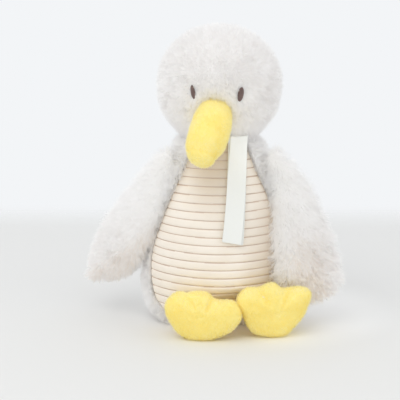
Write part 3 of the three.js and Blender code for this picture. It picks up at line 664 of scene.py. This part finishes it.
def make_base():
    rings, columns = 40, 120
    angle = np.linspace(0, 2 * np.pi, columns, endpoint=False)[None, :] + np.zeros((rings, 1))
    t = np.linspace(0, 1, rings)[:, None] + np.zeros((1, columns))
    z = BASE_SEAM_Z * np.clip(1 - 2 * t, 0, 1)
    shrink = 1 - np.clip(2 * t - 1, 0, 1) * 0.98
    under = belly_turn(skin_points(BODY_LEVELS, angle, z)[..., 0], z) * np.clip(-3 * np.sin(angle), 0, 1)
    points = skin_points(BODY_LEVELS, angle, z, -under)
    points[..., :2] *= shrink[..., None]
    points[..., 2] = np.maximum(points[..., 2], 0.05)
    flat = points.reshape(-1, 3)
    faces = grid_faces(rings, columns, True)[:, ::-1]
    middle = np.arange((rings - 1) * columns, rings * columns)[::-1]
    piece = make_object("base_cloth", flat, [*faces, middle], [PLUSH_SKIN])
    finish_piece(piece, "body", "plush", "base_panel")
    rim = faces[face_centres(flat, faces)[:, 2] > 0.4]
    roots, normals = scattered(flat, rim, PLUSH_PER_MM2, 61)
    comb = 0.5 * along_skin(DOWN, normals)
    fur = pile("base_pile", roots, normals, 5.0 + 0 * roots[:, 0], comb, 62, 4.5, 0.4, 0.35, tone=0.3)
    finish_piece(fur, "body", "plush")


# ---- Head
HEAD_TURNED = np.array(Matrix.Rotation(math.radians(HEAD_TURN), 3, "Z"))
HEAD_BASE_Z, HEAD_TOP_Z = HEAD_LEVELS[0][0], HEAD_LEVELS[-1][0]
HEAD_PILE_LENGTH = 5.7


def head_surface(x, z, swell=0.0):
    """The point on the front of the head with this x and height, before the head's turn."""
    side, front, _ = (smooth_at(HEAD_LEVELS, z)[..., k] + swell for k in range(3))
    return np.stack([x + 0 * z, -front * np.sqrt(np.clip(1 - (x / side) ** 2, 0, 1)), z + 0 * x], -1)


def make_head():
    rows, columns = 150, 200
    t = np.linspace(0, 1, rows)[:, None] + np.zeros((1, columns))
    z = HEAD_BASE_Z + (HEAD_TOP_Z - HEAD_BASE_Z) * (0.35 * t + 0.65 * (1 - np.cos(np.pi * t)) / 2)
    angle = np.linspace(0, 2 * np.pi, columns, endpoint=False)[None, :] + np.zeros((rows, 1))
    points = skin_points(HEAD_LEVELS, angle, z).reshape(-1, 3)
    points[:, :2] += 0.5 * vector_noise(points, 18, 71)[:, :2]
    faces = grid_faces(rows, columns, True)
    middle = face_centres(points, faces)
    beak_root = HEAD_TURNED.T @ np.array(BEAK_LINE[0])
    clear = np.linalg.norm(middle - beak_root, axis=1) > BEAK_ROOT_RADIUS - BEAK_INSET - 1.5
    chin = (middle[:, 1] < 0) & (middle[:, 2] < beak_root[2])
    gusset = (np.abs(middle[:, 0]) < GUSSET_HALF_WIDTH) & ~chin
    parts = {
        "gusset": gusset,
        "left": ~gusset & (middle[:, 0] >= 0),
        "right": ~gusset & (middle[:, 0] < 0),
    }
    nodes = {"gusset": "head_gusset", "left": "head_side_left", "right": "head_side_right"}
    for k, (name, mask) in enumerate(parts.items()):
        own_points, own_faces = used_only(points, faces[mask & clear])
        turned = own_points @ HEAD_TURNED.T
        piece = make_object(f"head_plush_{name}", turned, own_faces, [PLUSH_SKIN])
        finish_piece(piece, "head", "plush", nodes[name])
        head_pile(name, own_points, own_faces, beak_root, 80 + 3 * k)


def head_pile(name, points, faces, beak_root, seed):
    roots, normals = scattered(points, faces, 3.1, seed)
    length = HEAD_PILE_LENGTH + 0.35 * noise(roots, 8, seed)
    low = np.clip((168 - roots[:, 2]) / 16, 0, 1)
    length = length * (1 - 0.3 * low)
    comb = (0.2 + 0.7 * low)[:, None] * along_skin(DOWN, normals)
    keep = np.ones(len(roots), bool)
    for eye in EYES:
        lean = math.radians(eye["lean"])
        dx, dz = roots[:, 0] - eye["x"], roots[:, 2] - eye["z"]
        u = (dx * math.cos(lean) - dz * math.sin(lean)) / (eye["width"] / 2)
        v = (dx * math.sin(lean) + dz * math.cos(lean)) / (eye["height"] / 2)
        reach = np.where(roots[:, 1] < 0, np.hypot(u, v), 99)
        keep &= reach > 0.95
        near = np.clip((2.6 - reach) / 1.6, 0, 1)
        length = length * (1 - 0.45 * near)
        away = np.stack([dx, 0 * dx, dz], -1)
        comb = comb + 0.55 * near[:, None] * along_skin(unit(away), normals)
    gap = roots - beak_root
    reach = np.linalg.norm(gap, axis=1)
    keep &= reach > BEAK_ROOT_RADIUS - BEAK_INSET - 0.2
    near = np.clip((BEAK_ROOT_RADIUS + 3 - reach) / 5, 0, 1)[:, None]
    comb = comb * (1 - near) - 0.1 * near * along_skin(unit(gap), normals)
    length = length * (1 - 0.42 * near[:, 0])
    roots, normals, length, comb = roots[keep], normals[keep], length[keep], comb[keep]
    roots, normals, comb = (v @ HEAD_TURNED.T for v in (roots, normals, comb))
    fur = pile(f"head_pile_{name}", roots, normals, length, comb, seed + 1, 3.2, 0.25, 0.22, tone=0.1)
    finish_piece(fur, "head", "plush")


def make_eyes():
    for eye in EYES:
        rows = 26
        lean = math.radians(eye["lean"])
        points, faces, slots = [], [], []
        for k in range(rows):
            v = -1 + 2 * (k + 0.5) / rows
            half = eye["width"] / 2 * math.sqrt(1 - v * v)
            if half < 0.15:
                continue
            around, along = 8, 9
            thick = eye["height"] / rows * 0.62
            first = len(points)
            for i in range(along):
                u = -1 + 2 * i / (along - 1)
                dx, dz = u * half, v * eye["height"] / 2 + 0.12 * u
                x = eye["x"] + dx * math.cos(lean) + dz * math.sin(lean)
                z = eye["z"] - dx * math.sin(lean) + dz * math.cos(lean)
                lift = 1.1 + 1.0 * math.sqrt(max(0, 1 - u * u)) * math.sqrt(1 - v * v)
                centre = head_surface(np.array(x), np.array(z), lift)
                for j in range(around):
                    turn = 2 * math.pi * j / around
                    points.append(centre + np.array([0, -thick * math.cos(turn), thick * math.sin(turn)]))
            for i in range(along - 1):
                for j in range(around):
                    a, b = first + i * around + j, first + i * around + (j + 1) % around
                    faces.append([a, b, b + around, a + around])
                    slots.append(k % 2)
            last = first + (along - 1) * around
            faces += [list(range(first, first + around))[::-1], list(range(last, last + around))]
            slots += [k % 2, k % 2]
        turned = np.array(points) @ HEAD_TURNED.T
        piece = make_object("eye_stitches_" + eye["name"], turned, faces, [BROWN, BROWN_LIGHT], slots)
        finish_piece(piece, "head", "brown", "eye_embroidery_" + eye["name"])


# ---- Beak
def curve_points(knots, t):
    """Points and directions on a smooth line through the knots, t from 0 to the last knot's number."""
    knots = np.array(knots, float)
    ends = [2 * knots[0] - knots[1], *knots, 2 * knots[-1] - knots[-2]]
    q = np.array(ends)
    i = np.clip(np.floor(t).astype(int), 0, len(knots) - 2)
    s = (t - i)[:, None]
    a, b, c, d = q[i], q[i + 1], q[i + 2], q[i + 3]
    place = 0.5 * (2 * b + (c - a) * s + (2 * a - 5 * b + 4 * c - d) * s**2 + (3 * b - a - 3 * c + d) * s**3)
    ahead = 0.5 * ((c - a) + 2 * (2 * a - 5 * b + 4 * c - d) * s + 3 * (3 * b - a - 3 * c + d) * s**2)
    return place, unit(ahead)


def make_beak():
    columns, last = 96, len(BEAK_LINE) - 1
    degrees = np.radians(np.linspace(78, 0, 14, endpoint=False))
    start, start_ahead = curve_points(BEAK_LINE, np.array([0.0]))
    end, end_ahead = curve_points(BEAK_LINE, np.array([float(last)]))
    t = np.linspace(0, last, 90)
    middle, middle_ahead = curve_points(BEAK_LINE, t)
    middle_radius = smooth_at(BEAK_RADII, t)[:, 0]
    tip_radius = BEAK_RADII[-1][1]
    tip = np.radians(np.linspace(0, 89, 26)[1:])
    centre = np.concatenate(
        [
            start - start_ahead * BEAK_ROOT_RADIUS * np.sin(degrees)[:, None],
            middle,
            end + end_ahead * 0.74 * tip_radius * np.sin(tip)[:, None],
        ]
    )
    before, after = np.repeat(start_ahead, len(degrees), 0), np.repeat(end_ahead, len(tip), 0)
    ahead = np.concatenate([before, middle_ahead, after])
    radius = np.concatenate([BEAK_ROOT_RADIUS * np.cos(degrees), middle_radius, tip_radius * np.cos(tip)])
    radius = radius - np.linspace(BEAK_INSET, 0.9, len(radius)) * np.clip(radius / 8, 0, 1)
    up = unit(np.cross(np.array([1.0, 0, 0]), ahead))
    across = unit(np.cross(ahead, up))
    turn = np.linspace(0, 2 * np.pi, columns, endpoint=False)
    rows = len(centre)
    along = np.linspace(0, 1, rows)[:, None]
    lift = np.sin(turn)[None, :]
    seam = np.abs(lift)
    pinch = 0.35 * np.exp(-((seam / 0.09) ** 2))
    body = radius[:, None] + 0 * lift
    fold = 1.1 * np.exp(-(((along - 0.74) / 0.035) ** 2)) * np.clip(lift, 0, 1)
    reach = body - pinch * np.clip(body / 10, 0, 1) - fold
    broad = np.exp(-((along / 0.4) ** 2))[..., None]
    rise, side = np.sin(turn)[None, :, None], np.cos(turn)[None, :, None]
    rise = rise * (1 - 0.3 * broad * (rise > 0))
    side = np.sign(side) * np.abs(side) ** (1 - 0.22 * broad)
    ring = across[:, None] * side * (1 + 0.02 * broad) + up[:, None] * rise
    points = centre[:, None] + ring * reach[..., None]
    aside = np.clip((centre[:, None, 0] - points[..., 0]) / 10, 0, 1)
    near_tip, near_root = np.exp(-(((along - 0.76) / 0.13) ** 2)), np.exp(-(((along - 0.12) / 0.12) ** 2))
    points[..., 0] -= aside * (2.2 * near_tip - 1.2 * near_root)
    points = points.reshape(-1, 3)
    points += 0.35 * vector_noise(points, 9, 90)
    faces = grid_faces(rows, columns, True)[:, ::-1]
    column = np.arange(len(faces)) % columns
    upper = column < columns // 2
    for name, mask in (("upper", upper), ("lower", ~upper)):
        own_points, own_faces = used_only(points, faces[mask])
        piece = make_object(f"beak_cloth_{name}", own_points, own_faces, [YELLOW])
        finish_piece(piece, "beak", "yellow", f"beak_{name}_panel")
        seed = 200 if name == "upper" else 204
        velvet(f"beak_velvet_{name}", own_points, own_faces, "beak", seed, (0, -0.6, -0.8))


# ---- Wings
def wing_matrix(wing):
    side = wing["side"]
    return np.array(
        Matrix.Translation((side * wing["x"], wing["y"], WING_ROOT_Z))
        @ Matrix.Rotation(math.radians(-side * wing["spread"]), 4, "Y")
        @ Matrix.Rotation(math.radians(-wing["lean"]), 4, "X")
        @ Matrix.Rotation(math.radians(side * wing["twist"]), 4, "Z")
        @ Matrix.Diagonal((side, 1, 1, 1))
    )


RIDGE_X, RIDGE_Z, RIDGE_SLOPE = -49, 82, 0.93
RIDGE_REACH = 18
WING_PILE_LENGTH = 5.8


def under_ridge(points):
    """How far a point lies below the soft ridge that runs down the right wing to its tip."""
    return (RIDGE_Z + RIDGE_SLOPE * (points[:, 0] - RIDGE_X) - points[:, 2]) / 1.37


def ridge_set_back(points):
    return 0.18 * np.clip(under_ridge(points), 0, RIDGE_REACH)


def make_wing(wing):
    rows, columns = 120, 96
    outline = WING_OUTLINES[wing["name"]]
    root = outline[0][1]
    last = outline[-1][0]
    tip = last + WING_TIP_REACH
    t = np.linspace(0, 1, rows)
    s = -root + (tip + root) * (0.5 * t + 0.5 * (1 - np.cos(np.pi * t)) / 2)
    half, thick, shift = smooth_at(outline, s).T
    cap = np.sqrt(np.clip(1 - (np.minimum(s, 0) / root) ** 2, 0, 1))
    end = np.sqrt(np.clip(1 - (np.maximum(s - last, 0) / WING_TIP_REACH) ** 2, 0, 1))
    half, thick = half * cap * end, thick * cap * end
    turn = -np.linspace(0, 2 * np.pi, columns, endpoint=False)[None, :]
    x = shift[:, None] + half[:, None] * np.cos(turn)
    y = thick[:, None] * np.sin(turn)
    points = np.stack([x, y, -s[:, None] + 0 * x], -1).reshape(-1, 3)
    faces = grid_faces(rows, columns, True)
    local_middle = face_centres(points, faces)
    matrix = wing_matrix(wing)
    placed = points @ matrix[:3, :3].T + matrix[:3, 3]
    placed += 0.5 * vector_noise(placed, 15, 110)
    if wing["side"] < 0:
        placed[:, 1] += ridge_set_back(placed)
        faces = faces[:, ::-1]
    middle = face_centres(placed, faces)
    free = ~inside_body(middle, 1.0)
    front = local_middle[:, 1] < 0
    for name, mask in (("front", front), ("back", ~front)):
        own_points, own_faces = used_only(placed, faces[mask & free])
        label = wing["name"] + "_" + name
        piece = make_object(f"wing_plush_{label}", own_points, own_faces, [PLUSH_SKIN])
        finish_piece(piece, "wing_" + wing["name"], "plush", f"wing_{label}")
        seed = 120 + 7 * wing["side"] + (3 if name == "front" else 0)
        roots, normals = scattered(own_points, own_faces, PLUSH_PER_MM2, seed)
        crease = inside_body(roots, 3.5) & ~inside_body(roots, -1.0) & (roots[:, 2] > 112)
        valley = np.repeat(np.flatnonzero(crease), 2)
        keep = np.concatenate([np.flatnonzero(~inside_body(roots, 0.8)), valley])
        wide, deep = smooth_at(BODY_LEVELS, roots[:, 2])[:, :2].T
        outward = unit(np.stack([roots[:, 0] / wide**2, roots[:, 1] / deep**2, 0 * wide], -1))
        normals = np.where(crease[:, None], unit(normals + outward), normals)
        stand = np.where(crease, 1.4, 1.0)[keep]
        roots, normals = roots[keep], normals[keep]
        roots = roots + np.random.default_rng(seed + 5).normal(size=roots.shape) * (stand[:, None] - 1)
        # Painted light and shade in the fibres' tones: warmer and darker low down and under the right wing's ridge,
        # whiter at the top and, on the left wing, over the inner side low down.
        low = np.clip((88 - roots[:, 2]) / 60, 0, 1)
        if wing["side"] < 0:
            painted_light_and_shade = np.clip(under_ridge(roots) / 3.5 + 1, 0, 1) * (name == "front")
            painted_light_and_shade = np.maximum(0.5 * painted_light_and_shade * low**0.35, 0.25 * low)
        else:
            painted_light_and_shade = 0.75 * low * np.clip((98 - roots[:, 0]) / 25, 0.3, 1)
        painted_light_and_shade = painted_light_and_shade - 0.35 * (1 - low) * np.clip((roots[:, 2] - 76) / 30, 0, 1)
        nap = -0.75 * matrix[:3, 2] + 0.25 * DOWN
        comb = 0.55 * along_skin(nap, normals)
        local = (roots - matrix[:3, 3]) @ np.linalg.inv(matrix[:3, :3]).T
        width, _, centre = smooth_at(outline, -local[:, 2]).T
        inner = np.clip((centre - local[:, 0]) / width * 1.6 - 0.6, 0, 1) * (local[:, 1] < 3)
        over = inner * np.clip((105 - roots[:, 2]) / 50, 0, 1) * (wing["side"] > 0)
        painted_light_and_shade = painted_light_and_shade - 0.5 * over
        inner = inner * np.clip((roots[:, 2] - 92) / 16, 0.15, 1)
        comb = comb + 0.6 * over[:, None] * along_skin(np.array([-1, -0.8, 0]), normals)
        inward = np.array([-wing["side"], -0.3, 0])
        comb = comb + 0.4 * inner[:, None] * along_skin(inward, normals)
        length = (WING_PILE_LENGTH + 0.6 * noise(roots, 8, seed)) * (1 + 0.2 * inner + 0.45 * over) * stand
        gather, curl = 0.25 + 0.45 * low, 0.22 + 0.55 * low
        fur = pile(f"wing_pile_{label}", roots, normals, length, comb, seed + 1, 3.7, gather, curl, tone=painted_light_and_shade)
        finish_piece(fur, "wing_" + wing["name"], "plush")


# ---- Feet
FOOT_PUCKERS = ((50, 4.2, 11), (121, 4.0, 11), (88, 0.9, 7), (150, 0.7, 7))  # angle, depth and spread of each


def make_foot(foot):
    rows, columns = 72, 180
    lift = np.radians(np.linspace(-89.5, 89.5, rows))[:, None]
    degrees = np.linspace(-90, 270, columns, endpoint=False)[None, :]
    radius = smooth_at(FOOT_OUTLINES[foot["name"]], degrees)[..., 0]
    share = np.cos(lift) ** FOOT_PLUMPNESS
    rim = share**3
    puckers = 0
    for valley, depth, spread in FOOT_PUCKERS:
        puckers = puckers + depth * np.exp(-(((degrees - valley) / spread) ** 2))
    radial = radius * share
    y = FOOT_HALF_THICKNESS * np.sin(lift) + 0 * degrees
    inward = puckers * np.clip((share - 0.3) / 0.5, 0, 1) * (1 - 0.6 * rim)
    y = y - np.sign(y) * np.minimum(inward, np.abs(y) * 0.6)
    seam = 0.7 * np.exp(-((lift / 0.06) ** 2))
    radial = radial - seam
    angle = np.radians(degrees + foot["roll"])
    x = foot["mirror"] * radial * np.cos(angle)
    z = FOOT_HEEL_RADIUS - FOOT_SINK + radial * np.sin(angle)
    points = np.stack([x, -foot["mirror"] * y, z], -1).reshape(-1, 3)
    points += 0.3 * vector_noise(points, 8, 140)
    turned = np.array(Matrix.Rotation(math.radians(foot["turn"]), 3, "Z"))
    points = points @ turned.T + np.array([foot["x"], foot["y"], 0])
    points[:, 2] = np.maximum(points[:, 2], 0.06)
    faces = grid_faces(rows, columns, True)
    row = np.arange(len(faces)) // columns
    first = row < (rows - 1) // 2
    ends = [np.arange(columns)[::-1], np.arange((rows - 1) * columns, rows * columns)]
    if foot["mirror"] < 0:
        first = ~first
        ends = ends[::-1]
    for name, mask, end in (("upper", first, ends[0]), ("sole", ~first, ends[1])):
        keep, flat = np.unique(faces[mask], return_inverse=True)
        own_faces = flat.reshape(-1, 4)
        cap = np.searchsorted(keep, end[np.isin(end, keep)])
        own = [*own_faces, cap] if len(cap) > 2 else own_faces
        label = foot["name"] + "_" + name
        piece = make_object(f"foot_cloth_{label}", points[keep], own, [YELLOW])
        finish_piece(piece, "foot_" + foot["name"], "yellow", f"foot_{label}")
        seed = 210 + 10 * foot["mirror"] + (4 if name == "sole" else 0)
        velvet(f"foot_velvet_{label}", points[keep], own_faces, "foot_" + foot["name"], seed, (0, 0, 1))
    make_leg(foot)


def make_leg(foot):
    rows, columns = 24, 48
    side, front = smooth_at(BODY_LEVELS, np.array([ANKLE_Z]))[0, :2]
    root_y = -front * math.sqrt(max(0, 1 - (foot["x"] / side) ** 2)) + LEG_INSIDE
    near, far = (corner.y * 1000 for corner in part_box(f"leg_{foot['name']}_cover")[:2])
    y = np.linspace(near, min(far, root_y), rows)[:, None]
    turn = np.linspace(0, 2 * np.pi, columns, endpoint=False)[None, :]
    bulge = LEG_RADIUS - 0.3 + 0.25 * np.sin(5 * turn + y)
    x = foot["x"] + bulge * np.cos(turn) + 0 * y
    z = ANKLE_Z + bulge * np.sin(turn) + 0 * y
    points = np.stack([x, y + 0 * x, z], -1).reshape(-1, 3)
    faces = grid_faces(rows, columns, True)[:, ::-1]
    piece = make_object(f"leg_cloth_{foot['name']}", points, faces, [YELLOW])
    finish_piece(piece, "body", "yellow", f"leg_{foot['name']}_cover")


# ---- Ribbon
RIBBON_THICKNESS = 0.00035  # in metres


def make_ribbon():
    knots = [*RIBBON_TOP, *(row[:3] for row in RIBBON_DRAPE[1:])]
    last = len(knots) - 1
    t = np.linspace(0, last, 80)
    line, ahead = curve_points(knots, t)
    turns = [(-z, turn) for _, _, z, turn in RIBBON_DRAPE]
    turn = np.radians(smooth_at(turns, -line[:, 2])[:, 0])
    across = np.stack([np.cos(turn), np.sin(turn), 0 * turn], -1)
    out = unit(np.cross(across, ahead))
    gap = 0.6
    bend = np.radians(np.linspace(0, 180, 13)[1:-1])
    tip = line[-1] + np.cos(bend)[:, None] * out[-1] * gap + np.sin(bend)[:, None] * ahead[-1] * gap
    spine = np.concatenate([line + gap * out, tip, (line - gap * out)[::-1]])
    ends = len(tip)
    sideways = np.concatenate([across, np.repeat(across[-1:], ends, 0), across[::-1]])
    normal = np.concatenate([out, np.repeat(out[-1:], ends, 0), out[::-1]])
    onward = np.concatenate([ahead, np.repeat(ahead[-1:], ends, 0), ahead[::-1]])
    low = np.concatenate([t, np.full(ends, last), t[::-1]]) / last
    front = np.concatenate([np.ones(len(t)), np.linspace(1, 0, ends), np.zeros(len(t))])
    columns = 31
    u = np.linspace(-0.5, 0.5, columns)[None, :]
    points = spine[:, None] + sideways[:, None] * (u * RIBBON_WIDTH)[..., None]
    slant = 3.0 * (u + 0.5) * low[:, None] ** 8
    points = points + onward[:, None] * slant[..., None]
    shy = (1 - front)[:, None] * (1.5 * (1 - low[:, None]) ** 1.2 - 1.7 * low[:, None] ** 2)
    points = points + sideways[:, None] * shy[..., None]
    cup = 1.4 * (2 * u) ** 2 * (0.25 + 0.3 * np.sin(7 * low[:, None] + 1)) + 0 * low[:, None]
    wave = 0.45 * noise(points, 15, 160) + 0.15 * noise(points, 6, 161)
    points = points - normal[:, None] * (0.5 * cup - wave)[..., None]
    faces = grid_faces(len(spine), columns, False)
    piece = make_object("ribbon_satin", points.reshape(-1, 3), faces, [SATIN])
    thick = piece.modifiers.new("thickness", "SOLIDIFY")
    thick.thickness = RIBBON_THICKNESS
    thick.offset = 0
    finish_piece(piece, "ribbon", "ribbon", "ribbon_loop")


# ---- Stuffing
FILL_VOXEL = 0.0025  # in metres
BEAK_FILL_INSET, WING_FILL_INSET = 3.2, 1.2


def make_fill(node, body, slot, material):
    piece = bpy.data.objects.new(node + "_fill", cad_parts[node].data.copy())
    bpy.context.scene.collection.objects.link(piece)
    even = piece.modifiers.new("even", "REMESH")
    even.mode = "VOXEL"
    even.voxel_size = FILL_VOXEL
    soft = piece.modifiers.new("soft", "SMOOTH")
    soft.factor = 0.5
    soft.iterations = 6
    bpy.context.view_layer.update()
    done = bpy.data.meshes.new_from_object(piece.evaluated_get(bpy.context.evaluated_depsgraph_get()))
    piece.modifiers.clear()
    piece.data = done
    points, normals = (np.empty(len(done.vertices) * 3) for _ in range(2))
    done.vertices.foreach_get("co", points)
    done.vertices.foreach_get("normal", normals)
    points, normals = points.reshape(-1, 3) / MM, normals.reshape(-1, 3)
    if body == "beak":
        points = points - BEAK_FILL_INSET * normals
    elif body == "body":
        points[:, 1] += (points[:, 1] < 0) * 1.1 * belly_turn(points[:, 0], points[:, 2])
    elif body.startswith("wing"):
        points = points - WING_FILL_INSET * normals
        if body == "wing_right":
            points[:, 1] += ridge_set_back(points)
    done.vertices.foreach_set("co", (points * MM).ravel())
    done.update()
    piece.data.materials.clear()
    piece.data.materials.append(material)
    finish_piece(piece, body, slot, node)


# ---- Stage
FLOOR_CORNERS = [(-2500, -2500, -0.05), (2500, -2500, -0.05), (2500, 430, -0.05), (-2500, 430, -0.05)]
FLOOR_FADE_START, FLOOR_FADE_END = 0.29, 0.43  # in metres behind the toy's middle
# A painted pool of light on the floor around the toy, lighter than the rest of the floor.
FLOOR_PAINTED_LIGHT = ((0.035, 0.015, 0), (1, 1.1, 0), 0.125, 0.06, 1)
# Each light's name, energy, size and place, in metres
LIGHTS = (("key", 6.5, 1.4, (-0.7, -0.9, 1.3)), ("fill", 2.2, 1.6, (0.95, -0.9, 0.9)))
LIGHTS_AIM = (0, 0, 0.1)
CAMERA_AIM = (-0.0152, 0, 0.095)
CAMERA_DISTANCE, CAMERA_ELEVATION = 0.95, 12
SENSOR_WIDTH = 36
FOCAL_PIXELS, PICTURE_PIXELS = 1187.5, 400


def make_stage():
    floor = make_object("floor", FLOOR_CORNERS, [(0, 1, 2, 3)], [])
    material, tree, shader = node_material("pale_floor")
    with_inputs(shader, Base_Color=(0.775, 0.77, 0.755, 1), Roughness=0.7, Specular_IOR_Level=0.1)
    place = tree.nodes.new("ShaderNodeTexCoord")
    split = tree.nodes.new("ShaderNodeSeparateXYZ")
    tree.links.new(place.outputs["Object"], split.inputs["Vector"])
    fade = tree.nodes.new("ShaderNodeMapRange")
    fade.interpolation_type = "SMOOTHSTEP"
    with_inputs(fade, From_Min=FLOOR_FADE_START, From_Max=FLOOR_FADE_END, To_Min=1, To_Max=0)
    tree.links.new(split.outputs["Y"], fade.inputs["Value"])
    tree.links.new(fade.outputs["Result"], shader.inputs["Alpha"])
    paint_light_and_shade(material, (0.9, 0.895, 0.88), [FLOOR_PAINTED_LIGHT])
    floor.data.materials.append(material)
    world = bpy.data.worlds.new("studio")
    bpy.context.scene.world = world
    world.use_nodes = True
    sky = world.node_tree.nodes["Background"]
    sky.inputs["Color"].default_value = (0.896, 0.913, 0.931, 1)
    sky.inputs["Strength"].default_value = 1.0
    for name, energy, size, place in LIGHTS:
        light = bpy.data.lights.new(name, "AREA")
        light.energy = energy
        light.size = size
        lamp = bpy.data.objects.new(name, light)
        lamp.location = place
        lamp.rotation_mode = "QUATERNION"
        lamp.rotation_quaternion = (Vector(LIGHTS_AIM) - lamp.location).to_track_quat("-Z", "Y")
        bpy.context.scene.collection.objects.link(lamp)


def make_camera():
    data = bpy.data.cameras.new("camera")
    data.sensor_width = SENSOR_WIDTH
    data.lens = SENSOR_WIDTH * FOCAL_PIXELS / PICTURE_PIXELS
    camera = bpy.data.objects.new("camera", data)
    elevation = math.radians(CAMERA_ELEVATION)
    back = Vector((0, -math.cos(elevation), math.sin(elevation)))
    camera.location = Vector(CAMERA_AIM) + CAMERA_DISTANCE * back
    camera.rotation_mode = "QUATERNION"
    camera.rotation_quaternion = (-back).to_track_quat("-Z", "Y")
    bpy.context.scene.collection.objects.link(camera)
    bpy.context.scene.camera = camera


make_belly()
make_body_plush()
make_base()
make_head()
make_eyes()
make_beak()
for each_wing in WINGS:
    make_wing(each_wing)
for each_foot in FEET:
    make_foot(each_foot)
make_ribbon()
for fill_node, fill_body in (
    ("body_stuffing", "body"),
    ("neck_stuffing", "neck"),
    ("head_stuffing", "head"),
    ("beak_stuffing", "beak"),
    ("wing_right_stuffing", "wing_right"),
    ("wing_left_stuffing", "wing_left"),
    ("foot_right_stuffing", "foot_right"),
    ("foot_left_stuffing", "foot_left"),
    ("leg_right_stuffing", "body"),
    ("leg_left_stuffing", "body"),
):
    make_fill(fill_node, fill_body, "stuffing", FILL)
make_fill("pellet_bag", "body", "pellets", PELLET_CLOTH)
make_stage()
make_camera()

bpy.context.scene.view_settings.view_transform = "Standard"
bpy.context.scene.cycles.max_bounces = 24
bpy.context.scene.cycles.diffuse_bounces = 16
bpy.context.scene.cycles.transmission_bounces = 24
